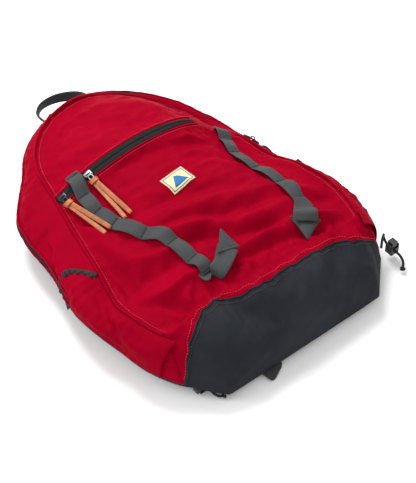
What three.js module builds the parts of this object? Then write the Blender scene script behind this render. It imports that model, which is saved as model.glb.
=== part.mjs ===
// A daypack with a round top, lying on its back: +X to its right, +Y towards its top, +Z out of its front.
// All lengths are millimetres. Heights along Y are measured from the foot of the pack, and the whole
// group is shifted at the end so that the origin is in the middle of the footprint.
import * as THREE from 'three';

const { degToRad } = THREE.MathUtils;
const V = (x, y, z) => new THREE.Vector3(x, y, z);
const pair = p => new THREE.Vector2(...p);
const mirror = { left: -1, right: 1 };

// ---------------------------------------------------------------- driving dimensions
const archRadius = 130;        // round top of the outline
const archCentreY = 330;
const flare = degToRad(12);    // how far the straight sides spread towards the foot
const straightFootY = 150;     // where the straight sides turn into the bulged foot
const cornerX = 148;           // the cut corners of the foot
const cornerY = 36;
const footHalf = 113;
const backZ = 14;              // underside of the back panel
const backThick = 5;
const wallZ = backZ + backThick + 1.2;
const seamZ = 66;              // height of the seam between side and front
const seamInset = 16;          // how far that seam lies inside the outline
const crown = 30;              // rise of the front from seam to middle
const crownFlatY = 320;        // above this the crown runs out towards the top seam
const crownFootY = 165;        // below this the crown sinks towards the base
const crownDroop = 0.33;
const cloth = 2;               // modelled thickness of the sewn walls
const foldY = 200;             // where the front folds when the pack is opened
const baseSeamY = 75;          // top edge of the base panel
const gap = 0.4;               // left between pieces that touch
const pocketZipY = 312;
const tapeHalf = 7;            // half width of a zip
const webWidth = 22;
const webThick = 1.8;
const daisyX = 93;
const middleY = 248;           // half of the length from the belt's tail to the handle

const colours = {
  red: 0xb3121f, base: 0x26292e, webbing: 0x4b4e50, dark: 0x17191b, leather: 0xb5622f, metal: 0x8b8d90,
  mesh: 0x202226, label: 0xe8e0a8, lining: 0x2a2c30, plastic: 0x0e0f10,
};
const finish = (colour, roughness, metalness = 0) =>
  new THREE.MeshStandardMaterial({ color: colours[colour], roughness, metalness });
const materials = {
  red: finish('red', 0.7),
  base: finish('base', 0.8),
  webbing: finish('webbing', 0.75),
  dark: finish('dark', 0.7),
  leather: finish('leather', 0.55),
  metal: finish('metal', 0.35, 1),
  mesh: finish('mesh', 0.9),
  label: finish('label', 0.8),
  lining: finish('lining', 0.8),
  plastic: finish('plastic', 0.45),
};

const pack = new THREE.Group();
const placed = new THREE.Group();
placed.position.y = -middleY;
pack.add(placed);

function addPiece(name, geometry, material, parent = placed) {
  const mesh = new THREE.Mesh(geometry, materials[material]);
  mesh.name = name;
  parent.add(mesh);
  return mesh;
}

// ---------------------------------------------------------------- closed solids from grids of points
function volumeOf(points, index) {
  let six = 0;
  for (let i = 0; i < index.length; i += 3) {
    const [a, b, c] = [points[index[i]], points[index[i + 1]], points[index[i + 2]]];
    six += a.dot(b.clone().cross(c));
  }
  return six / 6;
}

// A closed solid between two grids of points with the same number of rows and columns.
function between(outer, inner) {
  const rows = outer.length;
  const cols = outer[0].length;
  const points = [...outer.flat(), ...inner.flat()];
  const top = (i, j) => i * cols + j;
  const under = (i, j) => rows * cols + top(i, j);
  const index = [];
  const quad = (a, b, c, d) => index.push(a, b, c, a, c, d);
  for (let i = 0; i + 1 < rows; i++)
    for (let j = 0; j + 1 < cols; j++) {
      quad(top(i, j), top(i + 1, j), top(i + 1, j + 1), top(i, j + 1));
      quad(under(i, j), under(i, j + 1), under(i + 1, j + 1), under(i + 1, j));
    }
  for (let i = 0; i + 1 < rows; i++) {
    quad(top(i, 0), under(i, 0), under(i + 1, 0), top(i + 1, 0));
    quad(top(i, cols - 1), top(i + 1, cols - 1), under(i + 1, cols - 1), under(i, cols - 1));
  }
  for (let j = 0; j + 1 < cols; j++) {
    quad(top(0, j), top(0, j + 1), under(0, j + 1), under(0, j));
    quad(top(rows - 1, j), under(rows - 1, j), under(rows - 1, j + 1), top(rows - 1, j + 1));
  }
  if (volumeOf(points, index) < 0) index.reverse();
  const geometry = new THREE.BufferGeometry().setFromPoints(points);
  geometry.setIndex(index);
  geometry.computeVertexNormals();
  return geometry;
}

// The grid moved along its own normals, towards the side where `inside` lies.
function offsetGrid(grid, distance, inside) {
  const rows = grid.length;
  const cols = grid[0].length;
  return grid.map((row, i) => row.map((p, j) => {
    const along = grid[Math.min(i + 1, rows - 1)][j].clone().sub(grid[Math.max(i - 1, 0)][j]);
    const across = row[Math.min(j + 1, cols - 1)].clone().sub(row[Math.max(j - 1, 0)]);
    const normal = along.cross(across).normalize();
    if (normal.dot(inside.clone().sub(p)) < 0) normal.negate();
    return p.clone().addScaledVector(normal, distance);
  }));
}

const packMiddle = V(0, 230, 40);
const clothOver = (grid, thick = cloth) => between(grid, offsetGrid(grid, thick, packMiddle));
const steps = (from, to, count) =>
  Array.from({ length: count + 1 }, (_, i) => from + (to - from) * i / count);

// A band of webbing: stations of {at, across}, its width laid along `across`.
function ribbon(stations, width, thick) {
  const half = width / 2;
  const edge = stations.map(({ at, across }, i) => {
    const before = stations[Math.max(i - 1, 0)].at;
    const after = stations[Math.min(i + 1, stations.length - 1)].at;
    const along = after.clone().sub(before).normalize();
    const side = across.clone().addScaledVector(along, -across.dot(along)).normalize();
    return { at, side, up: side.clone().cross(along).normalize() };
  });
  const face = lift => edge.map(({ at, side, up }) => [-half, half].map(
    s => at.clone().addScaledVector(side, s).addScaledVector(up, lift)));
  return between(face(thick / 2), face(-thick / 2));
}

// ---------------------------------------------------------------- the pack's outline and surfaces
const archFootX = archRadius * Math.cos(flare);
const archFootY = archCentreY + archRadius * Math.sin(flare);
const sideX = y => archFootX + (archFootY - y) * Math.tan(flare);
const outline = new THREE.Path();
outline.moveTo(footHalf, 0);
outline.lineTo(cornerX, cornerY);
outline.bezierCurveTo(172, 72, 179, 113, sideX(straightFootY), straightFootY);
outline.lineTo(archFootX, archFootY);
outline.absarc(0, archCentreY, archRadius, flare, Math.PI / 2, false);
const outlinePoints = outline.getPoints(24);

// Half of the pack's width at height y.
function halfWidth(y) {
  for (let i = 1; i < outlinePoints.length; i++) {
    const [a, b] = [outlinePoints[i - 1], outlinePoints[i]];
    if (y <= b.y) return a.x + (b.x - a.x) * (y - a.y) / Math.max(b.y - a.y, 1e-6);
  }
  return 0;
}

const frontArch = archRadius - seamInset;
// Half of the width of the front, which is the outline less the seam's inset.
function frontHalf(y) {
  const archY = archCentreY + frontArch * Math.sin(flare);
  if (y > archY) return Math.sqrt(Math.max(frontArch ** 2 - (y - archCentreY) ** 2, 0));
  const inset = seamInset / Math.cos(flare);
  const besideArch = frontArch * Math.cos(flare) + (archY - y) * Math.tan(flare);
  if (y > straightFootY) return Math.min(sideX(y) - inset, besideArch);
  return halfWidth(y) - inset - (straightFootY - y) * 0.1;
}

function crownAt(y) {
  const share = Math.max(y - crownFlatY, 0) / (archCentreY + frontArch - crownFlatY);
  const droop = Math.max(crownFootY - y, 0) / (crownFootY - baseSeamY);
  return crown * (1 - share * share) * (1 - crownDroop * droop * droop);
}
const frontZ = (x, y) => seamZ + crownAt(y) * (1 - Math.min(Math.abs(x) / frontHalf(y), 1) ** 2);
const overFront = (x, y, lift) => V(x, y, frontZ(x, y) + lift);

// A piece laid on the front between two heights, following its crown.
function onFront(x0, x1, y0, y1, low, high, nx = 4, ny = 4) {
  const face = lift => steps(y0, y1, ny).map(y => steps(x0, x1, nx).map(x => overFront(x, y, lift)));
  return between(face(high), face(low));
}

// The side wall in section: from the back panel's edge, bulging out, up to the front seam.
const bezier = (a, m, b, t) => a.clone().multiplyScalar((1 - t) ** 2)
  .addScaledVector(m, 2 * t * (1 - t)).addScaledVector(b, t * t);
const wallBulge = 4;
const bulgeZ = 54;
function wallSection(outerX, outerY, innerX, innerY) {
  const grow = 1 + wallBulge / Math.hypot(outerX - innerX, outerY - innerY);
  const bulge = V(innerX + (outerX - innerX) * grow, innerY + (outerY - innerY) * grow, bulgeZ);
  return t => bezier(V(outerX, outerY, wallZ), bulge, V(innerX, innerY, seamZ), t);
}
const sideSection = y => wallSection(halfWidth(y), y, frontHalf(y), y);
const archSection = angle => wallSection(
  archRadius * Math.cos(angle), archCentreY + archRadius * Math.sin(angle),
  frontArch * Math.cos(angle), archCentreY + frontArch * Math.sin(angle));

// Sections of one side above the fold, from the fold up to the middle of the arch.
const archTop = degToRad(87);
const upperSections = [
  ...steps(foldY, archFootY - 12, 4).map(sideSection),
  ...steps(flare, archTop, 9).map(archSection),
];
const flipX = p => V(-p.x, p.y, p.z);
// A strip of the wall all the way round the top, from t0 to t1 of its section.
function topStrip(t0, t1, across) {
  const right = upperSections.map(section => steps(t0, t1, across).map(section));
  const left = right.map(row => row.map(flipX)).reverse();
  return [...right, ...left];
}

// ---------------------------------------------------------------- shell of the pack
const zipT = { foot: 0.21, middle: 0.31, head: 0.41 };   // where the main zip lies on the wall's section
const slit = 0.006;

function buildShell() {
  const share = [-1, -0.88, -footHalf / cornerX, -0.5, -0.25, 0, 0.25, 0.5, footHalf / cornerX, 0.88, 1];
  const topHalf = frontHalf(baseSeamY);
  const baseColumn = s => {
    const x = cornerX * s;
    const y = Math.max(Math.abs(x) - footHalf, 0) * cornerY / (cornerX - footHalf);
    const top = overFront(topHalf * s * 0.996, baseSeamY, 0);
    const bulge = V(x * 1.01, y + 16 * s ** 8, top.z - 12);
    return t => bezier(V(x, y, wallZ), bulge, top, t);
  };
  const columns = share.map(s => steps(0, 1, 7).map(baseColumn(s)));
  addPiece('base_panel', clothOver(columns), 'base');

  const rowsOfFront = (y0, y1, count) => steps(y0, y1, count)
    .map(y => steps(-0.995, 0.995, 10).map(s => overFront(frontHalf(y) * s, y, 0)));
  const pocketTopY = pocketZipY - tapeHalf - gap;
  addPiece('front_panel_lower', clothOver(rowsOfFront(baseSeamY + 1.2, foldY - gap / 2, 6)), 'red');
  addPiece('pocket_front_panel', clothOver(rowsOfFront(foldY + gap / 2, pocketTopY, 6)), 'red');
  const topY = angle => archCentreY + frontArch * Math.sin(angle);
  const topRows = [pocketZipY + tapeHalf + gap, 332, 345, ...steps(degToRad(18), archTop, 8).map(topY)];
  addPiece('front_panel_top', clothOver(topRows
    .map(y => steps(-0.995, 0.995, 10).map(s => overFront(frontHalf(y) * s, y, 0)))), 'red');

  for (const [side, sign] of Object.entries(mirror)) {
    const edge = t => baseColumn(1)(t).add(V(0.6, 1.4, 0));
    const rows = [steps(0, 0.95, 6).map(edge),
      ...steps(baseSeamY + 10, foldY - gap / 2, 6).map(y => steps(0, 0.95, 6).map(sideSection(y)))];
    addPiece('side_gusset_' + side, clothOver(rows.map(row => row.map(p => V(p.x * sign, p.y, p.z)))), 'red');
  }
  addPiece('back_gusset', clothOver(topStrip(0, zipT.foot - slit, 2)), 'red');
  addPiece('front_gusset', clothOver(topStrip(zipT.head + slit, 0.95, 4)), 'red');
  addPiece('main_zip_tape_back', clothOver(topStrip(zipT.foot, zipT.middle - slit, 1), 1.4), 'dark');
  addPiece('main_zip_tape_front', clothOver(topStrip(zipT.middle, zipT.head, 1), 1.4), 'dark');
}

// ---------------------------------------------------------------- back: panel, pads and yoke
function plate(points, z0, z1) {
  const shape = new THREE.Shape(points.map(p => new THREE.Vector2(p.x, p.y)));
  const geometry = new THREE.ExtrudeGeometry(shape, { depth: z1 - z0, bevelEnabled: false });
  return geometry.translate(0, 0, z0);
}
function roundedPlate(x0, x1, y0, y1, radius, z0, z1) {
  const shape = new THREE.Shape();
  shape.absarc(x1 - radius, y0 + radius, radius, -Math.PI / 2, 0, false);
  shape.absarc(x1 - radius, y1 - radius, radius, 0, Math.PI / 2, false);
  shape.absarc(x0 + radius, y1 - radius, radius, Math.PI / 2, Math.PI, false);
  shape.absarc(x0 + radius, y0 + radius, radius, Math.PI, Math.PI * 1.5, false);
  const depth = z1 - z0;
  const geometry = new THREE.ExtrudeGeometry(shape, { depth, bevelEnabled: false, curveSegments: 5 });
  return geometry.translate(0, 0, z0);
}

function buildBack() {
  const inset = 2;
  const right = outline.getPoints(10).map(p => V(Math.max(p.x - inset, 0), p.y - inset * p.y / 460, 0));
  right[right.length - 1].x = 0;
  const left = right.slice(0, -1).map(flipX).reverse();
  addPiece('back_panel', plate([...right, ...left], backZ, backZ + backThick), 'mesh');
  addPiece('spine_pad', roundedPlate(-33, 33, 102, 345, 14, 0, backZ - gap), 'mesh');
  addPiece('lumbar_pad', roundedPlate(-60, 60, 44, 98, 16, 0, backZ - gap), 'mesh');
  addPiece('yoke_patch', roundedPlate(-74, 74, 398, 436, 8, backZ - 2.2, backZ - gap), 'webbing');
}

// ---------------------------------------------------------------- shoulder straps and waist belt
const strapTopY = 428;
const strapTopZ = backZ - 2.6;
function buildStrap(side) {
  const sign = mirror[side];
  const line = new THREE.CatmullRomCurve3(
    [V(46, strapTopY, 0), V(58, 370, 0), V(82, 290, 0), V(90, 215, 0), V(78, 132, 0)]);
  const widths = u => 27 - 6 * u * u;
  const edges = [1, -1].map(way => line.getPoints(10).map((p, i) => {
    const along = line.getTangent(i / 10);
    return V(p.x - along.y * way * widths(i / 10), p.y + along.x * way * widths(i / 10), 0);
  }));
  const loop = [...edges[0], ...edges[1].reverse()].map(p => V(p.x * sign, p.y, 0));
  addPiece('shoulder_strap_' + side, plate(loop, 0.5, strapTopZ), 'mesh');

  const foot = line.getPoint(1);
  const aboveFoot = line.getPoint(0.9);
  const lock = new THREE.Group();
  lock.position.set(foot.x * sign, foot.y, 0);
  lock.rotation.z = sign * Math.atan2(foot.x - aboveFoot.x, aboveFoot.y - foot.y);
  placed.add(lock);
  const frame = new THREE.Shape([[-17, -26], [17, -26], [17, -2], [-17, -2]].map(pair));
  for (const y of [-21, -14, -7]) {
    const slot = new THREE.Path([[-12, y], [-12, y + 3], [12, y + 3], [12, y]].map(pair));
    frame.holes.push(slot);
  }
  const plastic = new THREE.ExtrudeGeometry(frame, { depth: 4.5, bevelEnabled: false }).translate(0, 0, 3);
  addPiece('ladder_lock_' + side, plastic, 'plastic', lock);

  const across = V(0.72 * sign, 0.69, 0);
  const web = [V(75, 104, 0), V(86, 90, 0), V(104, 72, 0), V(124, 54, 0)]
    .map(p => ({ at: V(p.x * sign, p.y, 9.8), across }));
  addPiece('strap_webbing_' + side, ribbon(web, 20, webThick), 'webbing');
}

const beltY = 24;
const beltWidth = 24;
function buildBelt() {
  const end = x => ({ at: V(x, beltY, 4), across: V(0, 1, 0) });
  const webbing = (x0, x1) => ribbon([end(x0), end(x1)], beltWidth, webThick);
  addPiece('belt_webbing_left', webbing(-112, -58), 'webbing');
  addPiece('belt_webbing_right', webbing(44, 112), 'webbing');

  const socket = new THREE.Shape([[-57, 8], [-18, 6], [-12, 12], [-12, 36], [-18, 42], [-57, 40]]
    .map(pair));
  const socketGeometry = new THREE.ExtrudeGeometry(socket, { depth: 10, bevelEnabled: false });
  addPiece('belt_buckle_socket', socketGeometry, 'plastic');

  // The plug's two prongs and the guide between them.
  const plug = new THREE.Shape([[43, 9], [43, 39], [26, 39], [20, 37], [2, 37], [2, 32], [16, 30], [16, 26],
    [0, 26], [0, 22], [16, 22], [16, 18], [2, 16], [2, 11], [20, 11], [26, 9]].map(pair));
  const plugGeometry = new THREE.ExtrudeGeometry(plug, { depth: 6, bevelEnabled: false }).translate(0, 0, 2);
  addPiece('belt_buckle_plug', plugGeometry, 'plastic');

  const across = V(1, 0, 0);
  const tail = [V(-50, 2, 3), V(-50, -2, 2.6), V(-50, -5, 2.3), V(-50, -8, 2)];
  const fold = tail.map(at => ({ at, across }));
  addPiece('belt_tail', ribbon(fold, 28, webThick), 'webbing');
}

// ---------------------------------------------------------------- grab handle
const handleZ = 24;
function buildHandle() {
  const reach = [V(-37, 461.4, 0), V(-39, 472, 0), V(-34, 486, 0), V(-20, 498, 0), V(0, 502.5, 0)];
  const path = [...reach, ...reach.slice(0, -1).reverse().map(flipX)];
  const curve = new THREE.CatmullRomCurve3(path);
  const stations = curve.getPoints(22).map(p => ({ at: V(p.x, p.y, handleZ), across: V(0, 0, 1) }));
  addPiece('grab_handle', ribbon(stations, 9, 3), 'webbing');
}

// ---------------------------------------------------------------- front: pocket, label and daisy chains
const tackPitch = 38;
const daisyFootY = 124;
const daisyTopY = 330;
function buildFront() {
  const tape = (name, y0, y1) => addPiece(name, onFront(-116, 116, y0, y1, -1.6, 0.2, 12, 1), 'dark');
  tape('pocket_zip_tape_lower', pocketZipY - tapeHalf, pocketZipY - gap / 2);
  tape('pocket_zip_tape_upper', pocketZipY + gap / 2, pocketZipY + tapeHalf);
  addPiece('pocket_lining', onFront(-98, 98, foldY + 8, pocketZipY - 2, -15.5, -14, 8, 4), 'lining');
  addPiece('label', onFront(-17, 17, 221, 247, 0.3, 1.1, 2, 2), 'label');

  for (const [side, sign] of Object.entries(mirror)) {
    const edges = [daisyX - webWidth / 2, daisyX + webWidth / 2].map(x => x * sign).sort((a, b) => a - b);
    // The webbing lies on the front between its bar tacks and rises a little from it in between.
    const wave = (y, y0, pitch) => 1.6 * Math.sin(Math.PI * ((y - y0) % pitch) / pitch) ** 2;
    const chain = (y0, y1, count, liftAt) => {
      const face = lift => steps(y0, y1, count).map(y => edges.map(x => overFront(x, y, lift + liftAt(y))));
      return between(face(webThick + 0.5), face(0.5));
    };
    const overZip = y => 3.2 * Math.exp(-(((y - pocketZipY) / 12) ** 2));
    const upper = chain(foldY + gap, daisyTopY, 22, y => wave(y, foldY, tackPitch) + overZip(y));
    addPiece('daisy_chain_upper_' + side, upper, 'webbing');
    const lower = chain(daisyFootY, foldY - gap, 12, y => wave(y, foldY - tackPitch * 3, tackPitch));
    addPiece('daisy_chain_lower_' + side, lower, 'webbing');
  }
}

// The right loop lies folded flat, its tip pointing to the foot; the left one stands on its edge.
function buildAxeLoops() {
  const rows = [[V(92, 115, 0), 11], [V(88, 104, 0), 11.5], [V(81, 91, 0), 13.5], [V(78, 86, 0), 14],
    [V(69, 70, 0), 1]];
  const across = V(0.89, -0.45, 0);
  const flat = lift => rows.map(([at, half]) => [-half, 0, half].map(s => {
    const p = at.clone().addScaledVector(across, s);
    return overFront(p.x, Math.max(p.y, baseSeamY), lift).setY(p.y);
  }));
  addPiece('axe_loop_right', between(flat(5.2), flat(0.8)), 'webbing');

  const high = frontZ(-60, 100);
  const standing = [
    [V(-92, 113, frontZ(-92, 113) + 4), V(1, 0, 0.35)], [V(-84, 101, high + 2), V(1, 0.3, 0.6)],
    [V(-72, 93, high + 9), V(0.6, 0.3, 0.9)], [V(-55, 90, high + 15), V(0.2, 0.2, 1)],
    [V(-40, 95, high + 18), V(0, 0.1, 1)], [V(-30, 107, high + 19), V(0, 0, 1)],
    [V(-30, 123, high + 18), V(0, 0, 1)], [V(-41, 134, high + 18), V(0, 0, 1)],
  ].map(([at, side]) => ({ at, across: side }));
  addPiece('axe_loop_left', ribbon(standing, webWidth, webThick), 'webbing');
}

// ---------------------------------------------------------------- side pockets
const pocketMouthY = 188;
const pocketFootY = 62;
const pocketBulge = 22;
const pocketT = { back: 0.05, front: 0.88 };
function pocketPoint(y, share, extra) {
  const section = sideSection(y);
  const t = pocketT.back + (pocketT.front - pocketT.back) * share;
  const [at, ahead] = [section(t), section(t + 0.01)];
  const outward = V(ahead.z - at.z, 0, at.x - ahead.x).normalize();
  const rise = Math.sqrt(Math.max(y - pocketFootY, 0) / (pocketMouthY - pocketFootY));
  return at.addScaledVector(outward, 0.6 + extra + pocketBulge * rise * Math.sin(Math.PI * share) ** 1.4);
}
function buildSidePockets() {
  for (const [side, sign] of Object.entries(mirror)) {
    const face = (ys, extra) => ys.map(y => steps(0, 1, 10)
      .map(share => pocketPoint(y, share, extra)).map(p => V(p.x * sign, p.y, p.z)));
    const ys = [pocketFootY, 72, 86, 104, 126, 150, 170, pocketMouthY];
    addPiece('side_pocket_' + side, between(face(ys, 1.6), face(ys, 0)), 'red');
    const hem = [pocketMouthY + gap, pocketMouthY + 7];
    addPiece('pocket_binding_' + side, between(face(hem, 2.6), face(hem, -0.2)), 'dark');
  }
}

// ---------------------------------------------------------------- zip sliders and their leather pulls
const sliderShape = new THREE.Shape([[-4.2, -5.5], [4.2, -5.5], [4.2, 1], [2.6, 5.5], [-2.6, 5.5], [-4.2, 1]]
  .map(pair));
const pullLength = 70;
const pullWidth = 9;
const pullThick = 4;
const pullLift = 1.6;

// The pocket zip's sliders ride on its crown; their pulls lie towards the foot.
const pocketSliders = { inner: -74, outer: -111.5 };
function buildPocketSliders() {
  for (const [name, x] of Object.entries(pocketSliders)) {
    const slope = 2 * crownAt(pocketZipY) * x / frontHalf(pocketZipY) ** 2;
    const seat = new THREE.Group();
    seat.position.copy(overFront(x, pocketZipY, 0));
    seat.rotation.set(0, Math.atan(slope), 0);
    placed.add(seat);
    const body = new THREE.ExtrudeGeometry(sliderShape, { depth: 2.6, bevelEnabled: false });
    body.rotateZ(-Math.PI / 2).translate(0, 0, 0.9);
    addPiece('pocket_slider_' + name, body, 'metal', seat);

    const ring = new THREE.Shape([[-3, -11], [3, -11], [3, -4.6], [-3, -4.6]].map(pair));
    ring.holes.push(new THREE.Path([[-1.7, -9.8], [-1.7, -5.8], [1.7, -5.8], [1.7, -9.8]].map(pair)));
    const wire = new THREE.ExtrudeGeometry(ring, { depth: 1.4, bevelEnabled: false }).translate(0, 0, 3.1);
    addPiece('pocket_ring_' + name, wire, 'metal', seat);
    const [x0, x1] = [x - pullWidth / 2, x + pullWidth / 2];
    const y1 = pocketZipY - 11.5;
    const leather = onFront(x0, x1, y1 - pullLength, y1, pullLift, pullLift + pullThick, 1, 6);
    addPiece('pocket_pull_' + name, leather, 'leather');
  }
}

// The main zip's sliders ride on the right side wall; the upper one's pull lies towards the foot,
// the lower one's towards the top.
const mainSliders = { upper: 281, lower: 268 };
// A pull lies clear of the wall, starts past its ring and lies beside the other slider's pull.
const mainPull = { lift: 7, start: 9.8, aside: 5 };
function buildMainSliders() {
  for (const [name, y] of Object.entries(mainSliders)) {
    const at = sideSection(y)(zipT.middle);
    const seat = new THREE.Group();
    seat.position.copy(at);
    seat.rotation.z = flare;
    placed.add(seat);
    // In the seat +X points out of the wall, +Y along the zip towards the top.
    const body = new THREE.ExtrudeGeometry(sliderShape, { depth: 2.6, bevelEnabled: false });
    body.rotateY(Math.PI / 2).translate(2, 0, 0);
    addPiece('main_slider_' + name, body, 'metal', seat);
    const way = name === 'upper' ? -1 : 1;
    const aside = -mainPull.aside * way;
    const ring = new THREE.BoxGeometry(1.4, 3.5, 4).translate(5.7, 7.65 * way, aside / 2);
    addPiece('main_ring_' + name, ring, 'metal', seat);
    const pull = new THREE.BoxGeometry(pullThick, pullLength, pullWidth, 1, 4, 1)
      .translate(mainPull.lift + pullThick / 2, (mainPull.start + pullLength / 2) * way, aside);
    addPiece('main_pull_' + name, pull, 'leather', seat);
  }
}

// ---------------------------------------------------------------- shock cords at the sides
const cordRadius = 1.6;
function cordTube(points, count) {
  const section = new THREE.Shape();
  section.absarc(0, 0, cordRadius, 0, Math.PI * 2, false);
  return new THREE.ExtrudeGeometry(section, {
    curveSegments: 4, steps: count, bevelEnabled: false, extrudePath: new THREE.CatmullRomCurve3(points),
  });
}
// The left cords are tucked under the pack's edge; the right ones hang out beside it.
const cordRoutes = {
  upper_cord_left: [V(-128, 268, 12), V(-134, 266, 9), V(-140, 258, 7), V(-140, 248, 6), V(-134, 241, 5),
    V(-128, 243, 3)],
  lower_cord_left: [V(-137, 48, 12), V(-131, 47.5, 10.5), V(-126, 45, 8.6), V(-124, 40, 7.6), V(-124, 31, 7.6),
    V(-124, 22, 7.6), V(-124, 14, 7.2), V(-121, 8, 6), V(-116, 6.5, 4.5)],
  upper_cord_right: [V(152, 262, 25), V(160, 265, 22), V(166, 262, 15), V(168, 256, 9), V(165, 248, 5),
    V(158, 243, 2.5)],
  lower_cord_right: [V(156, 45, 26), V(164, 52, 29), V(171, 57, 28), V(174, 60, 22), V(174, 57, 16.5),
    V(174, 52, 13.2), V(174, 44, 12.8), V(174, 36, 12.8), V(174, 29, 12), V(172, 22, 9), V(167, 17, 5)],
};
// Where each cord lock sits and how it is turned about the cord: the left button looks out to the side.
const cordLocks = {
  left: { place: V(-124, 31, 7.6), turn: -Math.PI / 2 },
  right: { place: V(174, 44, 12.8), turn: 0 },
};
const barrelSize = { width: 12, foot: -5, head: 9.5, depth: 11, bore: 2.6, slotFloor: 4, slotWall: 1.6 };
const buttonSize = { slack: 0.8, depth: 8.6, height: 6.5, middle: 10.2 };
function buildCords() {
  for (const [name, route] of Object.entries(cordRoutes))
    addPiece(name, cordTube(route, route.length), 'dark');
  // The cord runs through the barrel from end to end, and the button is pressed down into its slot.
  for (const [side, { place, turn }] of Object.entries(cordLocks)) {
    const seat = new THREE.Group();
    seat.position.copy(place);
    seat.rotation.y = turn;
    placed.add(seat);
    const { width, foot, head, depth, bore, slotFloor, slotWall } = barrelSize;
    const half = width / 2;
    const well = half - slotWall;
    const barrel = new THREE.Shape([[-half, foot], [half, foot], [half, head], [well, head],
      [well, slotFloor], [-well, slotFloor], [-well, head], [-half, head]].map(pair));
    barrel.holes.push(new THREE.Path().absarc(0, 0, bore, 0, Math.PI * 2, true));
    const body = new THREE.ExtrudeGeometry(barrel, { depth, curveSegments: 5, bevelEnabled: false });
    body.rotateX(Math.PI / 2).translate(0, depth / 2, 0);
    addPiece('cord_lock_' + side, body, 'plastic', seat);
    const button = new THREE.BoxGeometry(2 * well - buttonSize.slack, buttonSize.depth, buttonSize.height)
      .translate(0, 0, buttonSize.middle);
    addPiece('cord_lock_button_' + side, button, 'plastic', seat);
  }
}

buildShell();
buildBack();
for (const side of Object.keys(mirror)) buildStrap(side);
buildBelt();
buildHandle();
buildFront();
buildAxeLoops();
buildSidePockets();
buildPocketSliders();
buildMainSliders();
buildCords();

export default pack;
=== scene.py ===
"""A daypack with a round top, lying on its back: +X to its right, +Y to its top, +Z out of its front.
Shapes are worked out in millimetres with y measured from the pack's foot, and put down in metres."""
import math

import bpy
import numpy as np
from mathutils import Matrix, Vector
from mathutils.bvhtree import BVHTree


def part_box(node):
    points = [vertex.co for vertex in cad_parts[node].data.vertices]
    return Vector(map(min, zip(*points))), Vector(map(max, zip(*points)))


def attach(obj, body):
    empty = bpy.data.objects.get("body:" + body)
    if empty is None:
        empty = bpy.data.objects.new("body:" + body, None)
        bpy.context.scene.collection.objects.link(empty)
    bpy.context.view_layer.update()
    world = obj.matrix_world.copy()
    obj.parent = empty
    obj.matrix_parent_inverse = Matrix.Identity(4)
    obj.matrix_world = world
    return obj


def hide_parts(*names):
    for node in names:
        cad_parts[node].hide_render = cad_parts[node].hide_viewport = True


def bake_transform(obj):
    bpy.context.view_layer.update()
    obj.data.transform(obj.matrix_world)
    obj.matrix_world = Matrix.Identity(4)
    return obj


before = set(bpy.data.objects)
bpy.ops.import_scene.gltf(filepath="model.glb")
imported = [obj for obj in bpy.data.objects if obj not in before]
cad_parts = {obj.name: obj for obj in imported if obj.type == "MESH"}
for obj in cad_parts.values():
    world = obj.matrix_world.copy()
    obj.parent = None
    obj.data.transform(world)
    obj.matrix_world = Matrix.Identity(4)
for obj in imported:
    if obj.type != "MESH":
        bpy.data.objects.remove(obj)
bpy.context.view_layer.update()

# ---------------------------------------------------------------- driving dimensions, in millimetres
MM = 0.001
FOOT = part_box("base_panel")[0].y / MM
ARCH_R = 130.0
ARCH_Y = 330.0
FLARE = math.radians(12)
STRAIGHT_FOOT = 150.0
CORNER = (148.0, 36.0)
FOOT_HALF = 113.0
WALL_Z = 20.2
SEAM_Z = 66.0
SEAM_INSET = 16.0
CROWN = 30.0
CROWN_FLAT_Y = 320.0
CROWN_FOOT_Y = 165.0
CROWN_DROOP = 0.33
ABOVE = 220.0
STRAP_Z = 6.0
FLOOR_Z = -0.0006
BASE_SEAM_Y = 75.0
FOLD_Y = 200.0
ZIP_Y = 312.0
ZIP_T = (0.24, 0.31, 0.38)
SIDES = {"left": -1, "right": 1}


def at(x, y, z):
    """A point in the row frame, in metres."""
    return Vector((x * MM, (y + FOOT) * MM, z * MM))


def node_box(node):
    """The low and high corners of a CAD node, in mm."""
    return (np.array(v) / MM - [0, FOOT, 0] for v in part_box(node))


# ---------------------------------------------------------------- camera, light and floor
def make_camera():
    data = bpy.data.cameras.new("camera")
    cam = bpy.data.objects.new("camera", data)
    bpy.context.scene.collection.objects.link(cam)
    azimuth, elevation, distance = math.radians(-39.0), math.radians(48.2), 2.0
    back = Vector((math.sin(azimuth) * math.cos(elevation), -math.cos(azimuth) * math.cos(elevation),
                   math.sin(elevation)))
    cam.location = at(-4.9, 172.0, 40.0) + back * distance
    cam.rotation_mode = "QUATERNION"
    cam.rotation_quaternion = (-back).to_track_quat("-Z", "Y")
    data.sensor_width = 36.0
    data.lens = 126.7
    data.clip_start, data.clip_end = 0.05, 50.0
    bpy.context.scene.camera = cam


def area_light(name, place, aim, size, power, colour=(1, 1, 1)):
    data = bpy.data.lights.new(name, "AREA")
    data.shape = "DISK"
    data.size = size
    data.energy = power
    data.color = colour
    lamp = bpy.data.objects.new(name, data)
    bpy.context.scene.collection.objects.link(lamp)
    lamp.location = place
    lamp.rotation_mode = "QUATERNION"
    lamp.rotation_quaternion = (Vector(aim) - Vector(place)).to_track_quat("-Z", "Y")


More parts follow.
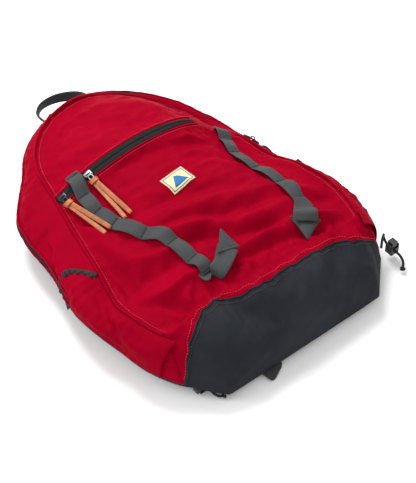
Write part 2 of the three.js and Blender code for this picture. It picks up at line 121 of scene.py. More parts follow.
def make_stage():
    area_light("key", (0.5, 1.6, 2.0), (0, 0, 0.05), 1.2, 70)
    area_light("fill", (-1.8, -1.6, 1.5), (0, 0, 0), 1.8, 12)
    area_light("side", (-1.6, 1.0, 1.6), (0, 0, 0), 1.2, 16)
    world = bpy.data.worlds.new("studio")
    world.use_nodes = True
    world.node_tree.nodes["Background"].inputs["Color"].default_value = (1, 1, 1, 1)
    world.node_tree.nodes["Background"].inputs["Strength"].default_value = 0.8
    bpy.context.scene.world = world
    bpy.context.scene.view_settings.view_transform = "Standard"
    bpy.ops.mesh.primitive_plane_add(size=30, location=(0, 0, FLOOR_Z))
    floor = bpy.context.object
    floor.name = "floor"
    paper = bpy.data.materials.new("floor_paper")
    paper.use_nodes = True
    shader = paper.node_tree.nodes["Principled BSDF"]
    shader.inputs["Base Color"].default_value = (0.93, 0.93, 0.93, 1)
    shader.inputs["Roughness"].default_value = 0.85
    floor.data.materials.append(paper)


# ---------------------------------------------------------------- materials
class Shader:
    """A material's node tree, with short ways to add the nodes used here."""

    def __init__(self, name, roughness, colour=(0.5, 0.5, 0.5), metallic=0.0, sheen=0.0, specular=0.5):
        self.material = bpy.data.materials.new(name)
        self.material.use_nodes = True
        self.tree = self.material.node_tree
        self.out = self.tree.nodes["Principled BSDF"]
        self.out.inputs["Base Color"].default_value = (*colour, 1)
        self.out.inputs["Roughness"].default_value = roughness
        self.out.inputs["Metallic"].default_value = metallic
        self.out.inputs["Sheen Weight"].default_value = sheen
        self.out.inputs["Sheen Roughness"].default_value = 0.4
        self.out.inputs["Specular IOR Level"].default_value = specular
        self.bump = None

    def node(self, kind, **values):
        made = self.tree.nodes.new(kind)
        for key, value in values.items():
            if hasattr(made, key):
                setattr(made, key, value)
            else:
                made.inputs[key.replace("_", " ")].default_value = value
        return made

    def link(self, a, b):
        self.tree.links.new(a, b)

    def coords(self, kind="UV"):
        return self.node("ShaderNodeTexCoord").outputs[kind]

    def math(self, operation, a, b=0.0):
        made = self.node("ShaderNodeMath", operation=operation)
        for slot, value in zip(made.inputs, (a, b)):
            if isinstance(value, (int, float)):
                slot.default_value = value
            else:
                self.link(value, slot)
        return made.outputs[0]

    def noise(self, scale, detail=3.0, kind="Object", roughness=0.5):
        made = self.node("ShaderNodeTexNoise", Scale=scale, Detail=detail, Roughness=roughness)
        self.link(self.coords(kind), made.inputs["Vector"])
        return made.outputs["Fac"]

    def ramp(self, factor, stops):
        made = self.node("ShaderNodeValToRGB")
        elements = made.color_ramp.elements
        while len(elements) < len(stops):
            elements.new(0.5)
        for element, (place, colour) in zip(elements, stops):
            element.position = place
            element.color = (*colour, 1)
        self.link(factor, made.inputs["Fac"])
        return made.outputs["Color"]

    def wave(self, scale, direction, kind="UV"):
        made = self.node("ShaderNodeTexWave", Scale=scale, wave_type="BANDS", bands_direction=direction)
        self.link(self.coords(kind), made.inputs["Vector"])
        return made.outputs["Fac"]

    def colour(self, socket):
        self.link(socket, self.out.inputs["Base Color"])

    def rough(self, socket):
        self.link(socket, self.out.inputs["Roughness"])

    def raise_by(self, height, distance, strength=1.0):
        """Adds a bump of that height in metres on top of the ones before it."""
        made = self.node("ShaderNodeBump", Distance=distance, Strength=strength)
        self.link(height, made.inputs["Height"])
        if self.bump:
            self.link(self.bump, made.inputs["Normal"])
        self.bump = made.outputs["Normal"]
        self.link(self.bump, self.out.inputs["Normal"])


def tint(colour, factor):
    return tuple(min(c * factor, 1.0) for c in colour)


def woven(name, colour, roughness=0.6, pitch=0.9, weave=0.00012, crease=0.0008, sheen=0.15, vary=0.12,
          spec=0.35):
    """Plain-weave cloth: crossing threads of that pitch in mm, uneven colour and fine creases."""
    s = Shader(name, roughness, colour, sheen=sheen, specular=spec)
    s.out.inputs["Sheen Tint"].default_value = (*tint(colour, 1.6), 1)
    warp, weft = s.wave(math.pi / pitch, "X"), s.wave(math.pi / pitch, "Y")
    cloth = s.math("MULTIPLY", warp, weft)
    stops = [(0.25, tint(colour, 1 - vary)), (0.5, colour), (0.75, tint(colour, 1 + vary))]
    blotches = s.noise(14, 4)
    worn = s.math("ADD", s.math("MULTIPLY", blotches, 0.8), s.math("MULTIPLY", cloth, 0.2))
    s.colour(s.ramp(worn, stops))
    s.rough(s.math("ADD", roughness - 0.08, s.math("MULTIPLY", s.noise(60, 3), 0.16)))
    s.raise_by(s.noise(38, 5, roughness=0.55), crease)
    s.raise_by(s.noise(210, 3), crease * 0.12)
    s.raise_by(cloth, weave)
    return s.material


def webbing(name, colour, pitch=1.5):
    """Ribbed webbing: ribs across it and a fine twill along it."""
    s = Shader(name, 0.62, colour, specular=0.15)
    ribs = s.wave(math.pi / pitch, "Y")
    twill = s.wave(math.pi / pitch / 0.7, "DIAGONAL")
    body = s.math("ADD", s.math("MULTIPLY", ribs, 0.6), s.math("MULTIPLY", twill, 0.4))
    tone = s.math("ADD", s.math("MULTIPLY", body, 0.45), s.math("MULTIPLY", s.noise(45, 3), 0.55))
    s.colour(s.ramp(tone, [(0.25, tint(colour, 0.72)), (0.5, colour), (0.78, tint(colour, 1.3))]))
    s.raise_by(s.noise(60, 3), 0.0004)
    s.raise_by(body, 0.00022)
    return s.material


def leather(name, colour):
    s = Shader(name, 0.5, colour, specular=0.45)
    pores = s.node("ShaderNodeTexVoronoi", Scale=900.0)
    s.link(s.coords("Object"), pores.inputs["Vector"])
    tone = s.math("ADD", s.math("MULTIPLY", s.noise(120, 5), 0.7), s.math("MULTIPLY", s.noise(25, 2), 0.3))
    s.colour(s.ramp(tone, [(0.3, tint(colour, 0.62)), (0.52, colour), (0.72, tint(colour, 1.35))]))
    s.rough(s.math("ADD", 0.4, s.math("MULTIPLY", s.noise(300, 3), 0.22)))
    s.raise_by(s.noise(90, 4), 0.0005)
    s.raise_by(pores.outputs["Distance"], 0.00015)
    return s.material


def mesh_knit(name, colour):
    """Padded air mesh: a close pattern of small round holes."""
    s = Shader(name, 0.8, colour, sheen=0.3, specular=0.25)
    holes = s.node("ShaderNodeTexVoronoi", Scale=480.0)
    s.link(s.coords("Object"), holes.inputs["Vector"])
    tone = s.math("ADD", s.math("MULTIPLY", holes.outputs["Distance"], 0.9),
                  s.math("MULTIPLY", s.noise(30, 3), 0.2))
    s.colour(s.ramp(tone, [(0.1, tint(colour, 0.35)), (0.35, colour), (0.8, tint(colour, 1.5))]))
    s.raise_by(s.noise(22, 3), 0.0012)
    s.raise_by(holes.outputs["Distance"], 0.0005)
    return s.material


def moulded(name, colour, roughness=0.42):
    s = Shader(name, roughness, colour, specular=0.45)
    s.colour(s.ramp(s.noise(80, 3), [(0.35, tint(colour, 0.85)), (0.65, tint(colour, 1.25))]))
    s.rough(s.math("ADD", roughness - 0.06, s.math("MULTIPLY", s.noise(500, 2), 0.14)))
    s.raise_by(s.noise(1400, 2), 0.00004)
    return s.material


def cast_metal(name, colour):
    s = Shader(name, 0.33, colour, metallic=1.0)
    s.colour(s.ramp(s.noise(220, 4), [(0.3, tint(colour, 0.6)), (0.6, colour), (0.8, tint(colour, 1.3))]))
    s.rough(s.math("ADD", 0.22, s.math("MULTIPLY", s.noise(700, 3), 0.3)))
    s.raise_by(s.noise(600, 3), 0.00006)
    return s.material


RED = (0.27, 0.0003, 0.012)
GREY = (0.045, 0.049, 0.05)
INK = (0.018, 0.0195, 0.022)
M = {}


def make_materials():
    M["red"] = woven("red_nylon", RED, 0.55, sheen=0.0, vary=0.12, spec=0.008)
    M["base"] = woven("base_nylon", (0.02, 0.0225, 0.028), 0.66, pitch=1.4, weave=0.0003, vary=0.28, sheen=0.0,
                      spec=0.08)
    M["lining"] = woven("lining_nylon", (0.05, 0.052, 0.056), 0.55)
    M["tape"] = woven("zip_tape", (0.012, 0.016, 0.015), 0.7, pitch=0.8, vary=0.25, sheen=0.0, spec=0.06)
    M["binding"] = webbing("elastic_binding", (0.018, 0.019, 0.021), 1.1)
    M["webbing"] = webbing("grey_webbing", GREY)
    M["handle"] = webbing("black_webbing", (0.035, 0.037, 0.04))
    M["leather"] = leather("tan_leather", (0.37, 0.102, 0.026))
    M["mesh"] = mesh_knit("air_mesh", (0.03, 0.032, 0.036))
    M["plastic"] = moulded("black_plastic", (0.012, 0.012, 0.014))
    M["metal"] = cast_metal("zip_metal", (0.4, 0.4, 0.41))
    M["dark_metal"] = cast_metal("dark_zip_metal", (0.06, 0.06, 0.065))
    M["cord"] = webbing("shock_cord", INK, 1.0)
    M["red_thread"] = moulded("red_thread", (0.5, 0.012, 0.03), 0.6)
    M["grey_thread"] = moulded("grey_thread", (0.1, 0.105, 0.107), 0.6)
    M["dark_thread"] = moulded("dark_thread", (0.03, 0.033, 0.036), 0.6)
    M["label"] = woven("label_cloth", (0.8, 0.7, 0.36), 0.6, pitch=0.5, crease=0.0002, vary=0.06)
    M["label_blue"] = woven("label_blue", (0.01, 0.16, 0.42), 0.6, pitch=0.5, crease=0.0002, vary=0.15)


# ---------------------------------------------------------------- mesh helpers
def link_mesh(name, verts, faces, material, uvs=None, smooth=True):
    """A mesh from points in mm (y from the foot). uvs holds one pair in cm for each point."""
    data = bpy.data.meshes.new(name)
    points = np.asarray(verts, float).copy()
    points[:, 1] += FOOT
    data.from_pydata((points * MM).tolist(), [], faces)
    data.validate()
    if uvs is not None:
        layer = data.uv_layers.new(name="cloth")
        order = np.zeros(len(data.loops), np.int32)
        data.loops.foreach_get("vertex_index", order)
        layer.data.foreach_set("uv", np.asarray(uvs, np.float32)[order].ravel())
    data.materials.append(M[material])
    if smooth:
        data.shade_smooth()
    made = bpy.data.objects.new(name, data)
    bpy.context.scene.collection.objects.link(made)
    return made


def grid_faces(rows, cols, closed=False):
    faces = []
    wide = cols if closed else cols - 1
    for i in range(rows - 1):
        for j in range(wide):
            a, b = i * cols + j, i * cols + (j + 1) % cols
            faces.append((a, b, b + cols, a + cols))
    return faces


def grid_uvs(grid):
    """Lengths along the rows and columns of a grid, in cm."""
    along = np.cumsum(np.linalg.norm(np.diff(grid, axis=0, prepend=grid[:1]), axis=2), axis=0)
    across = np.cumsum(np.linalg.norm(np.diff(grid, axis=1, prepend=grid[:, :1]), axis=2), axis=1)
    middle = grid.shape[1] // 2
    across = across - across[:, middle:middle + 1]
    return np.stack([across / 10, np.broadcast_to(along[:, middle:middle + 1] / 10, across.shape)], axis=2)


def cloth_sheet(name, grid, material, thick=0.9, smooth=True):
    """A sheet of cloth on a grid of points, thickened inwards by a modifier."""
    rows, cols = grid.shape[:2]
    made = link_mesh(name, grid.reshape(-1, 3), grid_faces(rows, cols), material,
                     grid_uvs(grid).reshape(-1, 2), smooth)
    if thick:
        thicken(made, thick)
    return made


def thicken(obj, thick, offset=-1.0):
    solid = obj.modifiers.new("thickness", "SOLIDIFY")
    solid.thickness = thick * MM
    solid.offset = offset
    solid.use_even_offset = False
    return solid


def face_up(obj, outward):
    """Turns the faces over if they look away from outward(centre)."""
    total = sum(p.area * p.normal.dot(outward(p.center)) for p in obj.data.polygons)
    if total < 0:
        obj.data.flip_normals()
    return obj


def upwards(centre):
    return Vector((0, 0, 1))


def sideways(centre):
    """Away from the middle of the pack, over the floor."""
    return Vector((centre.x, centre.y - 0.04, 0))


def unit(v):
    return v / np.maximum(np.linalg.norm(v, axis=-1, keepdims=True), 1e-9)


def run_along(path):
    """Distance from the start of a path to each of its points."""
    return np.concatenate([[0], np.cumsum(np.linalg.norm(np.diff(path, axis=0), axis=1))])


def smooth_path(points, count):
    """Catmull-Rom through the points, with even spacing."""
    p = np.asarray(points, float)
    p = np.vstack([2 * p[0] - p[1], p, 2 * p[-1] - p[-2]])
    fine = []
    for i in range(1, len(p) - 2):
        for t in np.linspace(0, 1, 24, endpoint=False):
            a, b, c, d = p[i - 1:i + 3]
            fine.append(0.5 * (2 * b + (c - a) * t + (2 * a - 5 * b + 4 * c - d) * t * t
                               + (3 * b - a - 3 * c + d) * t ** 3))
    fine = np.array(fine + [p[-2]])
    length = run_along(fine)
    want = np.linspace(0, length[-1], count)
    return np.stack([np.interp(want, length, fine[:, k]) for k in range(fine.shape[1])], axis=1)


def band(name, centre, across, width, thick, material, columns=7):
    """Webbing along centre, with its width along across, a flat band with rounded edges."""
    centre = np.asarray(centre, float)
    along = unit(np.gradient(centre, axis=0))
    side = np.asarray(across, float)
    side = unit(side - along * np.sum(side * along, axis=1, keepdims=True))
    up = np.cross(side, along)
    half = np.broadcast_to(np.asarray(width, float) / 2, (len(centre),))
    angles = np.linspace(0, 2 * math.pi, 2 * columns, endpoint=False)
    flat = np.sign(np.cos(angles)) * np.abs(np.cos(angles)) ** 0.55
    tall = np.sign(np.sin(angles)) * np.abs(np.sin(angles)) ** 0.8
    ring = (centre[:, None] + side[:, None] * (flat[None, :, None] * half[:, None, None])
            + up[:, None] * (tall[None, :, None] * thick / 2))
    rows, cols = ring.shape[:2]
    verts = ring.reshape(-1, 3)
    faces = grid_faces(rows, cols, closed=True)
    faces += [tuple(range(cols))[::-1], tuple(range((rows - 1) * cols, rows * cols))]
    length = run_along(centre)
    uvs = np.stack([flat[None, :] * half[:, None] / 10, np.repeat(length[:, None] / 10, cols, axis=1)],
                   axis=2)
    made = link_mesh(name, verts, faces, material, uvs.reshape(-1, 2))
    return face_outwards(made)


def face_outwards(obj):
    """Makes a closed mesh's faces look outwards."""
    mesh = obj.data
    volume = 0.0
    mesh.calc_loop_triangles()
    for tri in mesh.loop_triangles:
        a, b, c = (mesh.vertices[i].co for i in tri.vertices)
        volume += a.dot(b.cross(c))
    if volume < 0:
        mesh.flip_normals()
    return obj


def tube(name, centre, radius, material, sides=10):
    """A round tube with domed ends along the points."""
    centre = np.asarray(centre, float)
    along = unit(np.gradient(centre, axis=0))
    side = np.zeros_like(centre)
    last = np.array([0.3, 0.2, 1.0])
    for i, direction in enumerate(along):
        last = unit(last - direction * np.dot(last, direction))
        side[i] = last
    up = np.cross(along, side)
    angles = np.linspace(0, 2 * math.pi, sides, endpoint=False)
    radii = np.broadcast_to(np.asarray(radius, float), (len(centre),)).copy()
    circle = (side[:, None] * np.cos(angles)[None, :, None] + up[:, None] * np.sin(angles)[None, :, None])
    rings = centre[:, None] + circle * radii[:, None, None]
    caps = [centre[0] - along[0] * radii[0] * 0.5, centre[-1] + along[-1] * radii[-1] * 0.5]
    verts = np.vstack([rings.reshape(-1, 3), caps])
    rows = len(centre)
    faces = grid_faces(rows, sides, closed=True)
    first, final = rows * sides, rows * sides + 1
    for j in range(sides):
        k = (j + 1) % sides
        faces.append((first, k, j))
        faces.append((final, (rows - 1) * sides + j, (rows - 1) * sides + k))
    length = run_along(centre)
    uv = np.stack([np.repeat(angles[None] * radii[0] / 10, rows, 0),
                   np.repeat(length[:, None] / 10, sides, 1)], 2)
    uvs = np.vstack([uv.reshape(-1, 2), [[0, 0], [0, length[-1] / 10]]])
    return face_outwards(link_mesh(name, verts, faces, material, uvs))


def join(name, parts):
    """Joins objects into one piece."""
    bpy.ops.object.select_all(action="DESELECT")
    for part in parts:
        part.select_set(True)
    bpy.context.view_layer.objects.active = parts[0]
    bpy.ops.object.join()
    made = bpy.context.view_layer.objects.active
    made.name = name
    return made


# ---------------------------------------------------------------- the pack's outline and surfaces
ARCH_FOOT = (ARCH_R * math.cos(FLARE), ARCH_Y + ARCH_R * math.sin(FLARE))
FRONT_R = ARCH_R - SEAM_INSET
FRONT_ARCH_Y = ARCH_Y + FRONT_R * math.sin(FLARE)


def side_x(y):
    return ARCH_FOOT[0] + (ARCH_FOOT[1] - y) * math.tan(FLARE)


def foot_curve():
    """The outline from the cut corner up to the straight side."""
    a, d = np.array(CORNER), np.array([side_x(STRAIGHT_FOOT), STRAIGHT_FOOT])
    b, c = np.array([172.0, 72.0]), np.array([179.0, 113.0])
    t = np.linspace(0, 1, 60)[:, None]
    return (1 - t) ** 3 * a + 3 * t * (1 - t) ** 2 * b + 3 * t * t * (1 - t) * c + t ** 3 * d


FOOT_CURVE = foot_curve()


def half_width(y):
    """Half of the outline's width at height y."""
    y = np.asarray(y, float)
    low = np.interp(y, [0, CORNER[1]], [FOOT_HALF, CORNER[0]])
    bulge = np.interp(y, FOOT_CURVE[:, 1], FOOT_CURVE[:, 0])
    arch = np.sqrt(np.maximum(ARCH_R ** 2 - (y - ARCH_Y) ** 2, 0))
    return np.select([y < CORNER[1], y < STRAIGHT_FOOT, y < ARCH_FOOT[1]], [low, bulge, side_x(y)], arch)


def front_half(y):
    """Half of the front's width between its seams."""
    y = np.asarray(y, float)
    inset = SEAM_INSET / math.cos(FLARE)
    arch = np.sqrt(np.maximum(FRONT_R ** 2 - (y - ARCH_Y) ** 2, 0))
    straight = np.minimum(side_x(y) - inset, FRONT_R * math.cos(FLARE) + (FRONT_ARCH_Y - y) * math.tan(FLARE))
    foot = half_width(y) - inset - (STRAIGHT_FOOT - y) * 0.1
    return np.select([y > FRONT_ARCH_Y, y > STRAIGHT_FOOT], [arch, straight], foot)


def crown_at(y):
    y = np.asarray(y, float)
    share = np.maximum(y - CROWN_FLAT_Y, 0) / (ARCH_Y + FRONT_R - CROWN_FLAT_Y)
    droop = np.maximum(CROWN_FOOT_Y - y, 0) / (CROWN_FOOT_Y - BASE_SEAM_Y)
    return CROWN * (1 - share ** 2) * (1 - CROWN_DROOP * droop ** 2)


def bell(x, centre, width):
    return np.exp(-((np.asarray(x, float) - centre) / width) ** 2)


def step(x, low, high):
    """0 below low, 1 above high and smooth between them."""
    t = np.clip((np.asarray(x, float) - low) / (high - low), 0, 1)
    return t * t * (3 - 2 * t)


SPREAD = 28.0


def spread(y):
    """How far the empty pack's left side spreads over the floor beyond its sewn outline."""
    return (SPREAD - 6.0 * (1 - step(y, 240, 310))) * step(y, 110, 205) * (1 - step(y, 326, 402))


def top_slump(x, y):
    """How far the seam has slumped round the top, from the middle to the right side."""
    return 30.0 * step(x, -10, 110) * step(y, 262, 340)


def right_sag(x, y):
    """How far the slack right side hangs, which takes the edge of the front down with it."""
    return 13.0 * step(x, 60, 125) * step(y, 150, 240) * (1 - step(y, 262, 340))


def seam_sink(x, y):
    """How far the front's seam has slumped below its sewn height: the empty pack sags more at the left."""
    left = np.asarray(x, float) < 0
    side = np.where(left, 9.0 * bell(y, 160, 36) + 3.0 * bell(y, 262, 22),
                    4.0 * bell(y, 120, 30) + 2 * bell(y, 230, 25))
    side = side + right_sag(x, y)
    y = np.asarray(y, float)
    return side + top_slump(x, y) + 0.9 * np.sin(y / 11.0) * np.clip((330 - y) / 60, 0, 1)


def segment_distance(p, path):
    """Distance of points to a polyline, and how far along it, from 0 to 1, the nearest place is."""
    best = np.full(len(p), 1e9)
    share = np.zeros(len(p))
    path = np.asarray(path, float)
    lengths = np.linalg.norm(np.diff(path, axis=0), axis=1)
    done = 0.0
    for a, b, length in zip(path[:-1], path[1:], lengths):
        t = np.clip(((p - a) @ (b - a)) / max(length ** 2, 1e-9), 0, 1)
        d = np.linalg.norm(p - (a + t[:, None] * (b - a)), axis=1)
        closer = d < best
        best = np.where(closer, d, best)
        share = np.where(closer, (done + t * length) / lengths.sum(), share)
        done += length
    return best, share


def folds(p, strokes):
    """Sum of folds over flat points p. Each stroke is (path, half width, height)."""
    total = np.zeros(len(p))
    for path, width, height in strokes:
        d, share = segment_distance(p, smooth_path(path, 14))
        fade = np.sin(np.pi * np.clip(share * 0.86 + 0.07, 0, 1)) ** 0.6
        total += height * fade * np.exp(-(d / width) ** 2)
    return total


def ripples(p, count, size, height, seed, turn=None):
    """Soft uneven ripples over flat points: a sum of waves, each bent by another."""
    r = np.random.default_rng(seed)
    total = np.zeros(len(p))
    for _ in range(count):
        angle = r.uniform(0, math.pi) if turn is None else turn + r.normal(0, 0.35)
        wavelength = size * r.uniform(0.6, 1.6)
        d = np.array([math.cos(angle), math.sin(angle)])
        across = np.array([-d[1], d[0]])
        bend = size * 0.5 * np.sin(p @ across / (size * r.uniform(0.8, 1.6)) + r.uniform(0, 6))
        wave = np.sin((p @ d + bend) * 2 * math.pi / wavelength + r.uniform(0, 6))
        total += (1 - 2 * np.abs(wave)) * r.uniform(0.4, 1.0)
    return total * height / math.sqrt(count)


FRONT_FOLDS = [
    ([(-72, 178), (-40, 172), (-18, 163), (-5, 146)], 10, 8.0),
    ([(-58, 158), (-30, 151), (-16, 134)], 9, -7.0),
    ([(-70, 210), (-16, 192), (36, 177), (84, 170)], 12, 4.5),
    ([(-66, 228), (15, 206), (66, 180)], 10, -4.5),
    ([(-50, 190), (24, 157), (90, 150)], 9, -5.0),
    ([(-10, 145), (34, 136), (86, 132)], 9, 4.5),
    ([(21, 297), (47, 291), (76, 282)], 7, 3.2),
    ([(28, 283), (55, 276), (84, 262)], 7, -3.2),
    ([(-55, 299), (-19, 293), (18, 285)], 8, -2.6),
    ([(34, 262), (58, 243), (80, 226)], 8, -3.2),
    ([(40, 250), (66, 232), (86, 210)], 7, 2.6),
    ([(8, 122), (40, 117), (68, 106)], 8, -7.0),
    ([(-16, 108), (39, 110), (84, 103), (118, 92)], 7, 6.0),
    ([(-26, 98), (30, 95), (84, 86), (124, 80)], 6, -5.0),
    ([(74, 98), (112, 97), (140, 88)], 6, 4.0),
    ([(108, 126), (130, 118), (148, 116)], 7, -5.0),
    ([(104, 152), (128, 138), (150, 136)], 8, 4.0),
    ([(-136, 136), (-112, 118), (-84, 116), (-58, 112)], 7, 8.0),
    ([(-104, 156), (-120, 146), (-128, 158)], 9, -6.0),
    ([(-134, 232), (-132, 200), (-129, 168), (-138, 134)], 10, -9.0),
    ([(-136, 262), (-118, 250), (-112, 228)], 8, 5.0),
    ([(-128, 280), (-112, 262), (-108, 244)], 7, -4.0),
    ([(-120, 190), (-104, 172), (-80, 160), (-52, 158)], 8, 5.5),
    ([(-112, 150), (-92, 140), (-74, 146)], 8, -5.0),
    ([(-118, 262), (-120, 230), (-116, 204), (-106, 176)], 9, 4.0),
    ([(-84, 106), (-96, 95), (-99, 80)], 5, 4.5),
    ([(-118, 108), (-108, 96), (-104, 82)], 6, -5.5),
    ([(-46, 412), (-4, 409), (30, 412)], 6, 2.6),
    ([(-22, 392), (12, 354), (44, 328)], 14, -3.2),
    ([(-98, 366), (-64, 352), (-24, 344)], 11, 3.0),
    ([(-80, 384), (-52, 396), (-30, 410)], 7, -2.4),
    ([(24, 396), (52, 380), (74, 356)], 10, 2.6),
]


def base_gathers():
    """Short puckers above the seam of the base."""
    r = np.random.default_rng(21)
    strokes = []
    for x in np.arange(-136, 140, 9.5):
        lean, tall = r.uniform(-9, 9), r.uniform(10, 24)
        height = r.uniform(1.4, 3.4) * r.choice([-1, 1])
        foot = BASE_SEAM_Y - 1
        path = [(x, foot), (x + lean * 0.5, foot + tall * 0.5), (x + lean, foot + tall)]
        strokes.append((path, 3.6, height))
    return strokes


GATHERS = base_gathers()


def calm(y):
    """1 where the front may move freely, 0 along the pocket zip."""
    zip_line = 1 - bell(y, ZIP_Y - 1, 15)
    return np.clip(zip_line * 1.15, 0, 1)


def front_z(x, y):
    """Height of the front with its folds."""
    x, y = np.broadcast_arrays(np.asarray(x, float), np.asarray(y, float))
    h = front_half(y)
    share = np.clip(np.abs(x) / np.maximum(h, 1e-6), 0, 1)
    flat = np.stack([x.ravel(), y.ravel()], axis=1)
    rise = 1.3 * folds(flat, FRONT_FOLDS) + folds(flat, GATHERS) + ripples(flat, 7, 42, 0.9, 3)
    rise = rise.reshape(x.shape) * (1 - share ** 7) * calm(y)
    sag = right_sag(x, y)
    slump = top_slump(x, y)
    sink = (seam_sink(x, y) - sag - slump) * share ** 3 + slump * share ** 5 + sag
    return SEAM_Z + crown_at(y) * (1 - share ** 2) + rise - sink


# ---------------------------------------------------------------- wall stations
def wall_stations(side):
    """Outline point, seam point and bulge point of each section of one wall, from the base to the top."""
    outer, inner = [], []
    for u in np.linspace(0, 1, 9, endpoint=False):
        y = CORNER[1] + (86 - CORNER[1]) * u
        yi = BASE_SEAM_Y + (86 - BASE_SEAM_Y) * u
        outer.append((float(half_width(y)), y))
        inner.append((float(front_half(yi)), yi))
    for y in np.arange(86, ARCH_FOOT[1] - 3, 3.6):
        outer.append((float(half_width(y)), y))
        inner.append((float(front_half(y)), y))
    for angle in np.linspace(FLARE, math.pi / 2, 60):
        c, s = math.cos(angle), math.sin(angle)
        outer.append((ARCH_R * c, ARCH_Y + ARCH_R * s))
        inner.append((FRONT_R * c, ARCH_Y + FRONT_R * s))
    outer, inner = np.array(outer), np.array(inner)
    sign = SIDES[side]
    if side == "left":
        outer[:, 0] += spread(outer[:, 1])
    outer[:, 0] *= sign
    inner[:, 0] *= sign
    out = unit(outer - inner)
    slack = spread(outer[:, 1])[:, None] / SPREAD if side == "left" else 0.0
    bulge = outer + out * (4.0 + 15.0 * slack)
    top = SEAM_Z - seam_sink(inner[:, 0], inner[:, 1])
    first = np.clip(np.arange(len(outer)) / 9.0, 0, 1)[:, None]
    foot_bulge = np.stack([outer[:, 0] * 1.01, outer[:, 1] + 16], axis=1)
    bulge = foot_bulge * (1 - first) + bulge * first
    low = np.column_stack([outer, np.full(len(outer), WALL_Z)])
    bulge_z = 54.0 - 0.1 * top_slump(inner[:, 0], inner[:, 1]) - right_sag(inner[:, 0], inner[:, 1])
    mid = np.column_stack([bulge, bulge_z])
    high = np.column_stack([inner, top])
    return low, mid, high, np.column_stack([out, np.zeros(len(out))])


WALL_FOLDS = {
    "left": [
        ([(304, 0.95), (288, 0.6), (262, 0.38)], 9, -9.0),
        ([(286, 0.98), (266, 0.74), (236, 0.58), (208, 0.5)], 9, 8.0),
        ([(264, 0.97), (240, 0.82), (212, 0.72)], 8, -9.0),
        ([(318, 0.85), (300, 0.72), (276, 0.58)], 7, 5.0),
        ([(330, 0.85), (352, 0.65), (372, 0.6)], 9, 3.5),
        ([(396, 0.9), (382, 0.6), (360, 0.5)], 9, -3.5),
        ([(424, 0.8), (440, 0.65), (460, 0.7)], 9, 2.5),
        ([(216, 0.3), (240, 0.28), (262, 0.2)], 8, -4.0),
    ],
    "right": [
        ([(240, 0.9), (226, 0.7), (206, 0.6)], 8, -4.0),
        ([(214, 0.85), (196, 0.7), (176, 0.66)], 8, 4.0),
        ([(380, 0.85), (400, 0.7), (420, 0.75)], 9, -2.5),
    ],
}


def wall_grid(side, t0, t1, across, y_from=None, free=1.0, lift=0.0):
    """Points of one wall between two places of its section."""
    low, mid, high, out = wall_stations(side)
    if y_from is not None:
        keep = low[:, 1] >= y_from
        low, mid, high, out = low[keep], mid[keep], high[keep], out[keep]
    sewn = np.linspace(t0, t1, across)[None, :]
    rolled = 0.57 * step(low[:, 0], -40, 30) * step(low[:, 1], 305, 350)
    share = np.where(sewn < ZIP_T[1], sewn / ZIP_T[1], (1 - sewn) / (1 - ZIP_T[1]))
    t = (sewn + rolled[:, None] * share)[..., None]
    grid = (1 - t) ** 2 * low[:, None] + 2 * t * (1 - t) * mid[:, None] + t * t * high[:, None]
    height = t[..., 0]
    arc = run_along(low[:, :2]) + low[0, 1]
    flat = np.stack([np.broadcast_to(arc[:, None], height.shape).ravel(), height.ravel() * 55], axis=1)
    strokes = [([(y, tt * 55) for y, tt in path], w, h) for path, w, h in WALL_FOLDS[side]]
    push = folds(flat, strokes) + ripples(flat, 6, 34, 1.6, 11 if side == "left" else 12)
    push = push.reshape(height.shape)
    near_zip = bell(sewn, ZIP_T[1], 0.13) * np.clip((arc[:, None] - 190) / 20, 0, 1)
    edge = np.clip(1 - np.abs(2 * height - 1) ** 6, 0, 1)
    push = push * (1 - near_zip) * edge * free + lift
    return grid + out[:, None] * push[..., None]


def whole_wall(t0, t1, across, y_from=None, free=1.0, lift=0.0):
    """The wall all the way round, from the base at the right, over the top, to the base at the left."""
    right = wall_grid("right", t0, t1, across, y_from, free, lift)
    left = wall_grid("left", t0, t1, across, y_from, free, lift)
    return np.concatenate([right, left[::-1][1:]], axis=0)


# ---------------------------------------------------------------- putting pieces on bodies
def own(obj, body, replaces=()):
    """Puts a piece on its body and hides the CAD nodes it stands for."""
    if body == "fold":
        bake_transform(obj)
    else:
        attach(obj, body)
    if replaces:
        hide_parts(*replaces)
    return obj


def crumple(obj, pins, grow, frames, cap):
    """Lets the cloth grow by a few percent between its pins, so that it buckles as loose cloth does."""
    count = len(obj.data.vertices)
    before = np.zeros(count * 3)
    obj.data.vertices.foreach_get("co", before)
    before = before.reshape(-1, 3)
    group = obj.vertex_groups.new(name="pins")
    for index, weight in enumerate(pins):
        if weight > 0.01:
            group.add([index], float(weight), "REPLACE")
    cloth = obj.modifiers.new("crumple", "CLOTH")
    settings = cloth.settings
    settings.vertex_group_mass = "pins"
    settings.quality = 6
    settings.mass = 0.3
    settings.tension_stiffness = settings.compression_stiffness = 18
    settings.shear_stiffness = 9
    settings.bending_stiffness = 1.2
    settings.shrink_min = -grow
    settings.effector_weights.gravity = 0.05
    settings.air_damping = 3
    cloth.collision_settings.use_collision = False
    scene = bpy.context.scene
    cloth.point_cache.frame_start, cloth.point_cache.frame_end = 1, frames
    for frame_number in range(1, frames + 1):
        scene.frame_set(frame_number)
    shown = obj.evaluated_get(bpy.context.evaluated_depsgraph_get())
    after = np.zeros(count * 3)
    shown.data.vertices.foreach_get("co", after)
    moved = after.reshape(-1, 3) - before
    size = np.linalg.norm(moved, axis=1, keepdims=True)
    moved *= np.tanh(size / (cap * MM)) * cap * MM / np.maximum(size, 1e-9)
    obj.modifiers.remove(cloth)
    obj.vertex_groups.remove(group)
    obj.data.vertices.foreach_set("co", (before + moved).ravel())
    obj.data.update()
    scene.frame_set(1)


